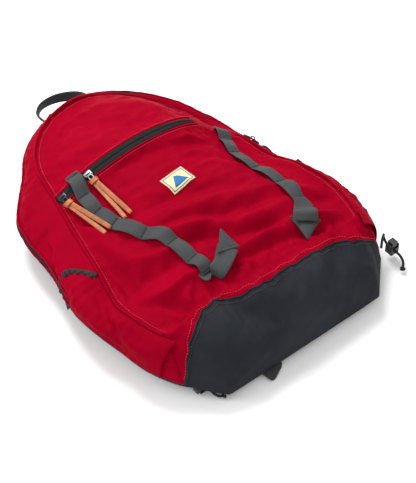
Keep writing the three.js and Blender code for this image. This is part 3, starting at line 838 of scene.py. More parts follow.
class Surface:
    """The finished surface of a piece, to lay other pieces on. Places are in mm."""

    def __init__(self, *objs):
        verts, faces = [], []
        for obj in objs:
            start = len(verts)
            verts += [v.co.copy() for v in obj.data.vertices]
            faces += [tuple(i + start for i in p.vertices) for p in obj.data.polygons]
        self.tree = BVHTree.FromPolygons(verts, faces)

    def hit(self, origin, direction):
        place, normal, _, _ = self.tree.ray_cast(at(*origin), Vector(direction))
        if place is None:
            place, normal, _, _ = self.tree.find_nearest(at(*origin))
        if normal.dot(Vector(direction)) > 0:
            normal = -normal
        return np.array(place) / MM - [0, FOOT, 0], np.array(normal)

    def z(self, x, y):
        return self.hit((x, y, ABOVE), (0, 0, -1))[0][2]

    def near(self, point):
        place, normal, _, _ = self.tree.find_nearest(at(*point))
        return np.array(place) / MM - [0, FOOT, 0], np.array(normal)


# ---------------------------------------------------------------- shell
def front_rows():
    """The front's grid and its share of the width, from the base's seam to the top."""
    share = np.linspace(-1, 1, 131)
    seam = base_seam(share)
    under = base_surface(share[None, :], seam + (1 - seam) * np.linspace(0, 1, 15)[:-1, None])
    low = np.linspace(BASE_SEAM_Y, FRONT_ARCH_Y, 124)
    high = ARCH_Y + FRONT_R * np.sin(np.linspace(FLARE, math.radians(88.5), 52))[1:]
    y = np.concatenate([low, high])[:, None] * np.ones((1, len(share)))
    x = share * front_half(y)
    return np.concatenate([under, np.stack([x, y, front_z(x, y)], axis=2)]), share


def make_front():
    grid, share = front_rows()
    front = cloth_sheet("front_fabric", grid, "red", thick=0)
    pins = np.broadcast_to(np.abs(share) > 0.985, grid.shape[:2]).astype(float)
    pins[:2] = 1
    pins[-1] = 1
    pins = np.maximum(pins, bell(grid[..., 1], ZIP_Y, 13) > 0.35)
    crumple(front, pins.ravel(), 0.035, 26, 5.0)
    return face_up(front, upwards)


def make_walls():
    walls = {}
    walls["front"] = cloth_sheet("wall_front", whole_wall(0.302, 1.0, 30), "red", thick=0)
    walls["back"] = cloth_sheet("wall_back", whole_wall(0.0, 0.306, 12), "red", thick=0)
    for wall in walls.values():
        face_up(wall, sideways)
    return walls


BASE_FOLDS = [
    ([(-62, 74), (-48, 56), (-18, 36)], 9, -7.0),
    ([(-84, 70), (-70, 40), (-52, 14)], 10, 4.0),
    ([(-30, 74), (-14, 58), (14, 46)], 9, 4.0),
    ([(100, 76), (80, 60), (52, 42)], 10, -6.0),
    ([(70, 74), (52, 60), (30, 54)], 9, 3.5),
    ([(128, 70), (118, 50), (104, 30)], 9, 3.5),
    ([(-124, 66), (-112, 44), (-104, 18)], 8, -3.0),
]
BASE_LOW_Z = 9.0
BASE_SEAM = [(-1.0, 0.03), (-0.94, 0.52), (-0.87, 0.78), (-0.76, 0.93), (-0.66, 0.985), (-0.54, 0.985),
             (-0.46, 0.955), (-0.38, 0.91), (-0.27, 0.885), (0.0, 0.87), (0.31, 0.88),
             (0.63, 0.87), (0.8, 0.8),
             (0.92, 0.62), (1.0, 0.38)]


def base_seam(share):
    """How far up the base's surface its top seam lies: red cloth comes down over both corners."""
    places, rises = np.array(BASE_SEAM).T
    wave = 0.005 * np.sin(share * 21) + 0.003 * np.sin(share * 47 + 1)
    return np.minimum(np.interp(share, places, rises) + wave * (1 - share ** 8), 0.99)


def base_surface(share, rise):
    """The pack's foot: share runs from left to right, rise from the floor side at 0 to the front at 1."""
    share, rise = np.broadcast_arrays(share, rise)
    x = CORNER[0] * share
    y = np.maximum(np.abs(x) - FOOT_HALF, 0) * CORNER[1] / (CORNER[0] - FOOT_HALF)
    top_x = float(front_half(BASE_SEAM_Y)) * share
    top_z = front_z(top_x, np.full_like(top_x, BASE_SEAM_Y))
    low = np.stack([x, y, BASE_LOW_Z + (WALL_Z - BASE_LOW_Z) * share ** 8], axis=-1)
    bulge = np.stack([x * 1.01, y + 16 * share ** 8 - 2, top_z - 14], axis=-1)
    top = np.stack([top_x, np.full_like(top_x, BASE_SEAM_Y), top_z], axis=-1)
    t = rise[..., None]
    grid = (1 - t) ** 2 * low + 2 * t * (1 - t) * bulge + t * t * top
    flat = np.stack([top_x.ravel(), rise.ravel() * 80], axis=1)
    push = (folds(flat, BASE_FOLDS) + ripples(flat, 6, 46, 1.3, 5)).reshape(rise.shape)
    pucker = sum(1.0 * way * bell(top_x, x, 4) * bell(rise, base_seam(share), 0.1)
                 for x, way in zip(np.arange(-140, 141, 14), np.tile([1, -1], 11)))
    edge = np.clip(1 - np.abs(2 * rise - 1) ** 8, 0, 1)
    grid[..., 1] -= (push + pucker) * edge * 0.7
    grid[..., 2] += (push + pucker) * edge * 0.7
    return grid


def make_base():
    share = np.linspace(-1, 1, 121)[None, :]
    grid = base_surface(share, base_seam(share) * np.linspace(0, 1, 44)[:, None])
    base = cloth_sheet("base_fabric", grid, "base", thick=0)
    return face_up(base, lambda p: Vector((0, -1, 1)))


def finish_shell(front, walls, base):
    for piece, thick in ((front, 1.0), (walls["front"], 1.0), (walls["back"], 1.0), (base, 1.2)):
        thicken(piece, thick)
    own(front, "fold", ["front_panel_lower", "pocket_front_panel", "front_panel_top"])
    own(walls["front"], "fold", ["front_gusset", "side_gusset_left", "side_gusset_right"])
    own(walls["back"], "pack", ["back_gusset"])
    own(base, "pack", ["base_panel"])


# ---------------------------------------------------------------- stitches, piping and binding
def stitches(name, path, normals, material, pitch=3.4, length=2.5, radius=0.36):
    """A row of thread stitches along a path."""
    path, normals = np.asarray(path, float), np.asarray(normals, float)
    run = run_along(path)
    places = np.arange(pitch / 2, run[-1], pitch)
    verts, faces = [], []
    offsets = [(-0.5, 0.35), (-0.3, 0.95), (0.0, 1.15), (0.3, 0.95), (0.5, 0.35)]
    for place in places:
        centre = np.array([np.interp(place, run, path[:, k]) for k in range(3)])
        ahead = np.array([np.interp(min(place + 0.8, run[-1]), run, path[:, k]) for k in range(3)])
        normal = unit(np.array([np.interp(place, run, normals[:, k]) for k in range(3)]))
        along = unit(ahead - centre + 1e-9)
        side = unit(np.cross(normal, along))
        start = len(verts)
        for place_along, size in offsets:
            middle = (centre + along * place_along * length
                      + normal * (0.15 + 0.25 * (1 - 4 * place_along * place_along)))
            for angle in np.linspace(0, 2 * math.pi, 6, endpoint=False):
                verts.append(middle + (side * math.cos(angle) + normal * math.sin(angle)) * radius * size)
        for ring in range(4):
            for k in range(6):
                a, b = start + ring * 6 + k, start + ring * 6 + (k + 1) % 6
                faces.append((a, b, b + 6, a + 6))
        faces.append(tuple(start + k for k in range(6))[::-1])
        faces.append(tuple(start + 24 + k for k in range(6)))
    return link_mesh(name, verts, faces, material)


def on_surface(surface, points, lift=0.0):
    """Points laid down on a surface from above, and the surface's normals there."""
    placed, normals = [], []
    for x, y in points:
        place, normal = surface.hit((x, y, ABOVE), (0, 0, -1))
        placed.append(place + normal * lift)
        normals.append(normal)
    return np.array(placed), np.array(normals)


def seam_curve(inset, count=260):
    """The front's seam from the base at the right, over the top, to the base at the left, moved inwards."""
    y = np.concatenate([np.linspace(BASE_SEAM_Y + 2, FRONT_ARCH_Y, count // 4),
                        ARCH_Y + FRONT_R * np.sin(np.linspace(FLARE, math.pi / 2, count // 4))[1:]])
    x = front_half(y)
    keep = np.maximum(x - inset, 0)
    y_in = np.where(y > ARCH_Y, ARCH_Y + (y - ARCH_Y) * (FRONT_R - inset) / FRONT_R, y)
    right = np.stack([keep, y_in], axis=1)
    left = (right * [-1, 1])[::-1][1:]
    return np.concatenate([right, left])


def make_seams(front_surface, base_surface_top):
    curve = seam_curve(0)
    z = SEAM_Z - seam_sink(curve[:, 0], curve[:, 1])
    seam = np.column_stack([curve, z + 0.7])
    out = unit(np.column_stack([curve[:, 0], np.maximum(curve[:, 1] - ARCH_Y, 0), np.zeros(len(curve))]))
    own(tube("front_seam_piping", seam + out * 0.6, 1.7, "red", sides=8), "fold")
    path, normals = on_surface(front_surface, seam_curve(4.2), 0.1)
    own(stitches("front_seam_stitches", path, normals, "red_thread"), "fold")
    share = np.linspace(-0.995, 0.995, 240)
    seam = base_seam(share)
    for name, offset, thread, slot in (("base_seam_stitches", 0.045, "red_thread", "red_nylon"),
                                       ("base_edge_stitches", -0.05, "dark_thread", "base_nylon")):
        laid = [base_surface_top.near(p) for p in base_surface(share, np.clip(seam + offset, 0.02, 1))]
        path, normals = (np.array(v) for v in zip(*laid))
        own(stitches(name, path + normals * 0.1, normals, thread), "pack")
    fold = np.array([base_surface_top.near(p)[0] for p in base_surface(share, seam - 0.008)])
    own(tube("base_seam_fold", fold, 1.0, "base", sides=8), "pack")


def outline_curve(inset, z, count=80):
    """The pack's outline all the way round at one height."""
    foot = np.array([[0, 0], [FOOT_HALF * 0.5, 0], [FOOT_HALF, 0],
                     [(FOOT_HALF + CORNER[0]) / 2, CORNER[1] / 2]])
    y = np.linspace(STRAIGHT_FOOT, ARCH_FOOT[1], 30)
    straight = np.stack([side_x(y), y], axis=1)
    angle = np.linspace(FLARE, math.pi / 2, 40)[1:]
    arch = np.stack([ARCH_R * np.cos(angle), ARCH_Y + ARCH_R * np.sin(angle)], axis=1)
    right = np.concatenate([foot, FOOT_CURVE[:-1:3], straight, arch])
    shrink = np.array([1 - inset / 170, 1 - inset / 240])
    right = (right - [0, 230]) * shrink + [0, 230]
    left = (right * [-1, 1])[::-1][1:-1]
    left[:, 0] -= spread(left[:, 1]) * (1 - inset / 170)
    loop = np.concatenate([right, left])
    return np.column_stack([loop, np.full(len(loop), z)])


def make_back():
    rings = [outline_curve(3.2, 17.5), outline_curve(3.0, 15.0), outline_curve(4.5, 12.4),
             outline_curve(14, 11.2),
             outline_curve(60, 10.6), outline_curve(130, 10.4)]
    lining = [outline_curve(4, 19.2), outline_curve(60, 19.4), outline_curve(130, 19.4)]
    rings = lining[::-1] + rings
    verts = np.vstack(rings)
    count = len(rings[0])
    faces = grid_faces(len(rings), count, closed=True)
    faces += [tuple(range(count)), tuple(range((len(rings) - 1) * count, len(rings) * count))[::-1]]
    panel = face_outwards(link_mesh("back_pad_panel", verts, faces, "mesh"))
    own(panel, "pack", ["back_panel"])
    edge = outline_curve(5.0, 12.6)
    keep = np.vstack([edge, edge[:2]])
    own(tube("back_edge_binding", keep, 2.3, "binding", sides=8), "pack")


def pillow(name, x0, x1, y0, y1, low, high, channels=0):
    """A flat foam pad in a mesh cover: full in the middle, thin and rounded at its edge."""
    n, m = 60, 28
    u = np.linspace(-1, 1, n)[:, None] * np.ones((1, m))
    v = np.linspace(-1, 1, m)[None, :] * np.ones((n, 1))
    round_u, round_v = u * np.sqrt(1 - v * v * 0.22), v * np.sqrt(1 - u ** 8 * 0.5)
    x = (x0 + x1) / 2 + round_v * (x1 - x0) / 2
    y = (y0 + y1) / 2 + round_u * (y1 - y0) / 2
    fill = np.clip((1 - u ** 10) * (1 - v ** 6), 0, 1) ** 0.5
    if channels:
        fill = fill * (1 - 0.4 * np.exp(-(np.sin(u * math.pi * channels / 2) / 0.16) ** 2))
    under = np.stack([x, y, high - (high - low) * fill], axis=2)
    upper = np.stack([x, y, np.full_like(x, high)], axis=2)
    verts = np.vstack([under.reshape(-1, 3), upper.reshape(-1, 3)])
    faces = grid_faces(n, m)
    top = [tuple(i + n * m for i in f)[::-1] for f in grid_faces(n, m)]
    made = face_outwards(link_mesh(name, verts, faces + top, "mesh"))
    own_weld(made)
    return made


def own_weld(obj):
    weld = obj.modifiers.new("weld", "WELD")
    weld.merge_threshold = 0.00008


def make_pads():
    own(pillow("spine_padding", -34, 34, 100, 347, 0.2, 13.2, channels=5), "pack", ["spine_pad"])
    own(pillow("lumbar_padding", -61, 61, 42, 99, 0.2, 13.2), "pack", ["lumbar_pad"])
    x = np.linspace(-74, 74, 20)
    patch = band("yoke_webbing", np.column_stack([x, np.full(20, 417.0), np.full(20, 10.9)]),
                 np.tile([0, 1.0, 0], (20, 1)), 38, 1.8, "handle")
    own(patch, "pack", ["yoke_patch"])
    for row, y in enumerate((401.0, 433.0)):
        path = np.column_stack([x, np.full(20, y), np.full(20, 9.9)])
        own(stitches(f"yoke_stitches_{row}", path, np.tile([0, 0, -1.0], (20, 1)), "grey_thread"), "pack")


# ---------------------------------------------------------------- shoulder straps
STRAP_LINE = [(46, 428), (58, 370), (82, 290), (90, 215), (78, 132)]


def make_strap(side):
    sign = SIDES[side]
    line = smooth_path(STRAP_LINE, 60)
    line[:, 0] *= sign
    along = unit(np.gradient(line, axis=0))
    across = np.stack([along[:, 1], -along[:, 0]], axis=1)
    u = np.linspace(0, 1, 60)
    half = (27 - 6 * u * u) * np.clip(1 - ((u - 0.5) * 2) ** 12 * 0.3, 0, 1)
    angles = np.linspace(0, 2 * math.pi, 36, endpoint=False)
    wide = np.sign(np.cos(angles)) * np.abs(np.cos(angles)) ** 0.5
    deep = np.sign(np.sin(angles)) * np.abs(np.sin(angles)) ** 0.7
    ends = np.clip(1 - np.abs(2 * u - 1) ** 16, 0.35, 1)
    crease = 1 - 0.12 * np.exp(-(np.sin(u * math.pi * 3.5) / 0.14) ** 2)
    thick = 5.1 * ends * crease
    centre = np.column_stack([line, np.full(60, STRAP_Z)])
    ring = (centre[:, None]
            + np.column_stack([across, np.zeros(60)])[:, None] * (half[:, None] * wide)[..., None]
            + np.array([0, 0, 1.0]) * (thick[:, None] * deep)[..., None])
    faces = grid_faces(60, 36, closed=True) + [tuple(range(36))[::-1], tuple(range(59 * 36, 60 * 36))]
    pad = face_outwards(link_mesh(f"shoulder_pad_{side}", ring.reshape(-1, 3), faces, "mesh"))
    own(pad, "strap_" + side, ["shoulder_strap_" + side])
    for edge in (-1, 1):
        rim = line + across * (half * edge)[:, None]
        path = np.column_stack([rim, np.full(60, STRAP_Z)])[1:-1]
        own(tube(f"shoulder_edge_{side}_{'outer' if edge > 0 else 'inner'}", path, 1.5, "binding", sides=8),
            "strap_" + side)
    lay = np.column_stack([line, np.full(60, 0.9)])[6:-2]
    web = band(f"shoulder_web_{side}", lay, np.column_stack([across, np.zeros(60)])[6:-2], 20, 1.3, "webbing")
    own(web, "strap_" + side)
    low = [(78, 135, 6), (76, 120, 9), (78, 108, 10), (86, 92, 9.8), (104, 73, 9.8), (124, 55, 10.5)]
    path = smooth_path([(x * sign, y, z) for x, y, z in low], 26)
    turn = np.linspace(0, 1, 26)[:, None]
    aim = (1 - turn) * np.array([1.0 * sign, 0, 0]) + turn * np.array([0.69 * sign, 0.72, 0])
    own(band(f"strap_tail_{side}", path, aim, 20, 1.5, "webbing"), "pack",
        ["strap_webbing_" + side])


def make_belt():
    y = 24.0
    for side, x0, x1 in (("left", -118, -56), ("right", 42, 118)):
        x = np.linspace(x0, x1, 16)
        own(band(f"belt_{side}", np.column_stack([x, np.full(16, y), np.full(16, 4.0)]),
                 np.tile([0, 1.0, 0], (16, 1)), 25, 1.6, "webbing"), "belt_" + side,
            ["belt_webbing_" + side])
    path = smooth_path([(-50, 7, 4), (-49, 2, 3.4), (-48, -2, 3), (-46, -6, 2.2)], 14)
    own(band("belt_end", path, np.tile([1.0, 0.2, 0], (14, 1)), [28] * 11 + [27, 24, 17], 1.7, "webbing"),
        "belt_left", ["belt_tail"])


def bevel_cad(node, material, width=0.7):
    """A CAD node that stays as it is, with softened edges and a finished material."""
    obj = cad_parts[node]
    obj.data.materials.clear()
    obj.data.materials.append(M[material])
    soft = obj.modifiers.new("bevel", "BEVEL")
    soft.width = width * MM
    soft.segments = 2
    soft.limit_method = "ANGLE"
    soft.angle_limit = math.radians(40)


# ---------------------------------------------------------------- webbing on the front
DAISY = {
    "left": [(-87, 329), (-92, 308), (-95, 290), (-96, 270), (-95, 247), (-88, 221), (-78, 198), (-67, 174),
             (-63, 151), (-60, 127), (-58, 104)],
    "right": [(115, 298), (110, 286), (104, 272), (98, 259), (94, 245), (93, 220), (97, 198), (100, 175),
              (101, 148),
              (97, 124)],
}
TACKS = {"left": [324, 293, 265, 236, 198, 164, 132, 108], "right": [293, 273, 243, 206, 166, 128]}
DAISY_WIDTH = 18.0


def laid_band(name, surface, path, width, lift, material, thick=1.5, count=110, settle=5):
    """Webbing laid on the front: it follows the cloth under it, but more smoothly than the cloth itself."""
    line = smooth_path(path, count)
    widths, width = width, float(np.mean(width))
    along = unit(np.gradient(line, axis=0))
    across = np.stack([along[:, 1], -along[:, 0]], axis=1)
    heights = np.array([[surface.z(*(p + a * s * width / 2)) for s in (-1, -0.5, 0, 0.5, 1)]
                        for p, a in zip(line, across)])
    kernel = np.ones(settle) / settle
    padded = np.pad(heights, ((settle // 2, settle // 2), (0, 0)), "edge")
    soft = np.stack([np.convolve(padded[:, k], kernel, "valid") for k in range(5)], axis=1)
    tilt = (soft[:, 4] - soft[:, 0]) / width
    clear = (heights - np.outer(tilt, np.linspace(-0.5, 0.5, 5) * width)).max(axis=1)
    level = np.maximum(soft.mean(axis=1), clear)
    level = np.convolve(np.pad(level, (2, 2), "edge"), np.ones(5) / 5, "valid")
    centre = np.column_stack([line, level + thick / 2 + 0.5 + lift])
    side = np.column_stack([across, tilt])
    return band(name, centre, side, widths, thick, material), centre, side


def arches(path_y, tacks, height):
    """Lift of the webbing between its bar tacks."""
    lift = np.zeros(len(path_y))
    for a, b in zip(tacks[:-1], tacks[1:]):
        inside = (path_y <= a) & (path_y >= b)
        arch = np.clip(np.sin(np.pi * (a - path_y) / (a - b)), 0, 1)
        lift = np.where(inside, height * arch ** 1.2, lift)
    return lift


def make_daisy(side, surface):
    path = DAISY[side]
    line = smooth_path(path, 110)
    zip_hump = 3.6 * bell(line[:, 1], ZIP_Y, 11)
    lift = arches(line[:, 1], TACKS[side], 4.6) + zip_hump
    chain, centre, across = laid_band(f"daisy_chain_{side}", surface, path, DAISY_WIDTH, lift, "webbing")
    own(chain, "fold", ["daisy_chain_upper_" + side, "daisy_chain_lower_" + side])
    rows = []
    for number, y in enumerate(TACKS[side]):
        k = int(np.argmin(np.abs(centre[:, 1] - y)))
        ahead = unit(centre[min(k + 1, 109)] - centre[max(k - 1, 0)])
        side_way = unit(across[k])
        up = np.cross(side_way, ahead)
        up = up * np.sign(up[2])
        for shift in (-0.8, 0.8):
            path_here = centre[k] + ahead * shift + side_way * np.linspace(-7.6, 7.6, 20)[:, None] + up * 0.75
            rows.append(stitches(f"tack_{side}_{number}_{shift}", path_here, np.tile(up, (20, 1)),
                                 "dark_thread", pitch=1.5, length=1.7, radius=0.42))
    own(join(f"bar_tacks_{side}", rows), "fold")


def flap(name, left, right, tip, bow, rows=14):
    """The pointed end of a loop: a triangle of folded webbing between its fold line and its tip."""
    left, right, tip = (np.array(v, float) for v in (left, right, tip))
    grid = np.zeros((rows, 9, 3))
    for i, u in enumerate(np.linspace(0, 1, rows)):
        for j, s in enumerate(np.linspace(0, 1, 9)):
            edge = left * (1 - s) + right * s
            centre = (left + right) / 2
            grid[i, j] = edge * (1 - u) + (tip + (edge - centre) * 0.05) * u
            grid[i, j, 2] += bow * math.sin(math.pi * u) * math.sin(math.pi * (0.1 + 0.8 * s))
    made = cloth_sheet(name, grid, "webbing", thick=0)
    face_up(made, upwards)
    thicken(made, 2.2)
    return own(made, "pack")


def fold_line(side, left, right, radius):
    """The rounded fold along the wide end of a loop's point."""
    ridge = np.array([np.array(left) * (1 - u) + np.array(right) * u for u in np.linspace(0, 1, 10)])
    own(tube("axe_loop_crease_" + side, ridge, radius, "webbing", sides=8), "pack")


def make_loops(surface):
    """Pointed webbing loops: the left one stands up from its chain's end, the right one lies to the foot."""
    ground = surface.z(-56, 100)
    left, right, tip = (-38.0, 113.0, ground + 15), (-14.5, 105.0, ground + 16), (-17.5, 134.0, ground + 22)
    path = [(-62, 112, ground + 3.6), (-61, 104, ground + 2.6), (-58, 99, ground + 3.4),
            (-51, 98, ground + 6.5),
            (-40, 101.5, ground + 11), (-25.4, 111.2, ground + 15.8)]
    sides = [(1, 0.1, 0.0), (1, -0.1, 0.05), (0.7, -0.65, 0.15), (0.75, -0.6, 0.2), (0.9, -0.42, 0.1),
             (1, -0.34, 0.04)]
    stem = band("axe_loop_standing", smooth_path(path, 36), smooth_path(sides, 36),
                np.interp(np.arange(36), [0, 10, 35], [18, 20, 25]), 1.6, "webbing")
    own(stem, "pack", ["axe_loop_left"])
    flap("axe_loop_point_left", left, right, tip, 1.5)
    fold_line("left", left, right, 1.5)

    path = [(99, 131), (97, 122), (91, 112), (78, 94.6)]
    under, _, _ = laid_band("axe_loop_under", surface, path, np.interp(np.arange(24), [0, 23], [19, 33]), 2.2,
                            "webbing", count=24)
    own(under, "pack", ["axe_loop_right"])
    places = [(66.6, 109.0), (96.8, 90.4), (65.4, 76.5)]
    left, right, tip = ((x, y, surface.z(x, y) + lift) for (x, y), lift in zip(places, (3.0, 3.0, 2.0)))
    flap("axe_loop_point_right", left, right, tip, 2.5)
    fold_line("right", left, right, 1.3)


def make_handle():
    path = [(-20, 446, 26), (-26, 458, 27), (-31, 470, 28), (-31, 483, 29), (-19, 493, 29), (0, 495, 28),
            (18, 491, 26), (32, 482, 25), (38, 470, 24), (37, 460, 24), (36, 450, 25)]
    sides = [(-0.5, -0.3, 0.8), (-0.6, -0.3, 0.8), (-0.6, -0.3, 0.8), (-0.5, -0.45, 0.75),
             (-0.3, -0.2, 0.9),
             (0, 0.25, 0.95), (0.25, 0.4, 0.9), (0.4, 0.3, 0.85), (0.4, 0.1, 0.9), (0.3, 0, 0.95),
             (0.2, 0, 1)]
    loop = band("grab_loop", smooth_path(path, 70), smooth_path(sides, 70), 13, 3.0, "handle")
    own(loop, "handle", ["grab_handle"])


# ---------------------------------------------------------------- zips, sliders and pulls
ZIP_END = 85.0


def make_pocket_zip(surface):
    for name, y0, y1 in (("lower", ZIP_Y - 7.2, ZIP_Y - 0.25), ("upper", ZIP_Y + 0.25, ZIP_Y + 7.2)):
        x = np.linspace(2 - float(front_half(ZIP_Y)), ZIP_END, 90)[:, None]
        across = np.linspace(0, 1, 9)[None, :]
        seam_y = y1 if name == "lower" else y0
        y = y0 + (y1 - y0) * across + 0 * x
        y = seam_y + (y - seam_y) * (1 - 0.5 * step(x, 10, ZIP_END))
        x = x + 0 * y
        z = front_z(x, y) + 0.5 + 0.55 * np.sin(np.pi * across) ** 0.5
        grid = np.stack([x, y, z], axis=2)
        tape = cloth_sheet("pocket_zip_" + name, grid, "tape", thick=0)
        face_up(tape, upwards)
        thicken(tape, 0.8)
        own(tape, "fold", ["pocket_zip_tape_" + name])
        lip_y = y0 - 0.9 if name == "lower" else y1 + 0.9
        xs = np.linspace(3 - float(front_half(ZIP_Y)), ZIP_END, 90)
        lip, _ = on_surface(surface, np.column_stack([xs, np.full(90, lip_y)]), 0.35)
        own(tube("pocket_lip_" + name, lip, 1.1, "red", sides=8), "fold")
        stitch_y = lip_y - 2.8 if name == "lower" else lip_y + 2.8
        path, normals = on_surface(surface, np.column_stack([xs, np.full(90, stitch_y)]), 0.1)
        own(stitches("pocket_lip_stitches_" + name, path, normals, "red_thread"), "fold")


def make_main_zip():
    for name, t0, t1, body in (("back", ZIP_T[0], ZIP_T[1] - 0.004, "pack"),
                               ("front", ZIP_T[1] + 0.004, ZIP_T[2], "fold")):
        grid = whole_wall(t0, t1, 7, y_from=FOLD_Y, lift=0.9)
        tape = cloth_sheet("main_zip_" + name, grid, "tape", thick=0)
        face_up(tape, sideways)
        thicken(tape, 1.0)
        own(tape, body, ["main_zip_tape_" + name])
        rim = t0 if name == "back" else t1
        edge = whole_wall(rim, rim, 1, y_from=FOLD_Y, lift=1.2)[:, 0]
        own(tube("main_lip_" + name, edge, 1.2, "red", sides=8), body)


def slider_piece(name, node, along, up, material, sag=0.0):
    """A zip slider in the place of its CAD node: two plates and a bridge over the top."""
    low, high = node_box(node)
    centre = (low + high) / 2 - sag
    along, up = unit(np.array(along, float)), unit(np.array(up, float))
    side = np.cross(up, along)

    def bar(label, length, width, thick, lift, shift=0.0, taper=1.0):
        u = np.linspace(-0.5, 0.5, 9)
        path = centre + along * (u[:, None] * length + shift) + up * lift
        widths = width * (1 - (1 - taper) * (u + 0.5)) * np.clip(1.08 - (2 * np.abs(u)) ** 6 * 0.3, 0, 1)
        return band(label, path, np.tile(side, (9, 1)), widths, thick, material)

    parts = [bar(name + "_top", 10.6, 8.2, 1.1, 0.5, taper=0.66),
             bar(name + "_under", 10.6, 8.2, 0.9, -0.8, taper=0.66)]
    u = np.linspace(-1, 1, 13)
    lift = 1.0 + 1.1 * np.sqrt(np.clip(1 - u ** 4, 0, 1))
    arch = centre + along * (u[:, None] * 3.6) + up * lift[:, None]
    parts.append(band(name + "_bridge", arch, np.tile(side, (13, 1)), 2.4, 0.9, material))
    return join(name, parts)


def leather_pull(name, root, aim, side, up, length, droop=0.0):
    """A leather lace drawn through the slider's ring: a wrapped knot and two tails."""
    root, aim, side, up = (np.array(v, float) for v in (root, aim, side, up))
    parts = []
    for k in (-1, 1):
        u = np.linspace(0, 1, 26)[:, None]
        fan = k * (1.4 + 2.9 * u ** 1.2)
        lift = 1.6 + (0.9 if k > 0 else -0.2) * np.sin(u * np.pi) + (0.6 if k > 0 else 0)
        path = root + aim * (u * length) + side * fan + up * lift - np.array([0, 0, droop]) * u ** 1.3
        width = np.concatenate([[4.0, 4.8], np.full(21, 5.6), [5.5, 5.2, 4.6]])
        parts.append(band(f"{name}_tail_{k}", path, np.tile(side + up * 0.15 * k, (26, 1)), width, 1.5,
                          "leather"))
    for number, place in enumerate((1.5, 4.4)):
        u = np.linspace(0, 2 * math.pi, 22)[:, None]
        path = (root + aim * (place + 0.7 * np.sin(u)) + side * 5.2 * np.cos(u) + up * (2.2 + 2.6 * np.sin(u)))
        parts.append(band(f"{name}_wrap_{number}", path, np.tile(aim, (22, 1)), 3.6, 1.3, "leather"))
    return join(name, parts)


def wire_ring(name, centre, along, side, length, width, radius, material):
    u = np.linspace(0, 2 * math.pi, 28)[:, None]
    shape = np.sign(np.cos(u)) * np.abs(np.cos(u)) ** 0.7, np.sign(np.sin(u)) * np.abs(np.sin(u)) ** 0.7
    path = np.array(centre) + np.array(along) * shape[0] * length / 2 + np.array(side) * shape[1] * width / 2
    return tube(name, path, radius, material, sides=8)


def make_pocket_sliders(surface):
    for name, metal in (("inner", "metal"), ("outer", "dark_metal")):
        low, high = node_box("pocket_slider_" + name)
        x = (low[0] + high[0]) / 2
        slope = -2 * CROWN * x / float(front_half(ZIP_Y)) ** 2
        side = unit(np.array([1, 0, slope]))
        up = unit(np.array([-slope, 0, 1]))
        slider = slider_piece("zip_slider_" + name, "pocket_slider_" + name, -side, up, metal)
        own(slider, name + "_slider", ["pocket_slider_" + name])
        ring_low, ring_high = node_box("pocket_ring_" + name)
        middle = (ring_low + ring_high) / 2
        ring = wire_ring("zip_ring_" + name, middle, (0, -1, -0.15), side, 6.6, 5.4, 0.75, metal)
        own(ring, name + "_pull", ["pocket_ring_" + name])
        pull_low, pull_high = node_box("pocket_pull_" + name)
        root = np.array([x, pull_high[1] + 1, surface.z(x, pull_high[1]) + 0.8])
        tip = np.array([x + (9 if name == "outer" else 0), pull_low[1] + 1, surface.z(x, pull_low[1] + 3) + 1.0])
        aim = unit(tip - root)
        lie = np.cross(side, aim)
        pull = leather_pull("leather_pull_" + name, root, aim, side, -lie if lie[2] < 0 else lie,
                            pull_high[1] - pull_low[1])
        own(pull, name + "_pull", ["pocket_pull_" + name])


SLIDER_SAG = np.array([0, 0, 6.0])


def make_main_sliders():
    up = np.array([math.cos(FLARE), math.sin(FLARE), 0])
    forward = np.array([-math.sin(FLARE), math.cos(FLARE), 0])
    for name, way, hang, droop in (("upper", -1, 24.0, 11.0), ("lower", 1, 13.0, 3.0)):
        slider = slider_piece("main_zip_slider_" + name, "main_slider_" + name, forward * -way, up, "dark_metal",
                              SLIDER_SAG)
        own(slider, name + "_slider", ["main_slider_" + name])
        low, high = node_box("main_ring_" + name)
        ring = wire_ring("main_zip_ring_" + name, (low + high) / 2 - SLIDER_SAG, forward * way, (0, 0, 1),
                         5.6, 4.4, 0.7, "dark_metal")
        own(ring, name + "_pull", ["main_ring_" + name])
        low, high = node_box("main_pull_" + name)
        centre = (low + high) / 2
        root = centre - forward * way * 36 - up * 4.6 - np.array([0, 0, hang])
        pull = leather_pull("main_leather_pull_" + name, root, forward * way, np.array([0, 0, 1.0]), up, 69,
                            droop)
        own(pull, name + "_pull", ["main_pull_" + name])


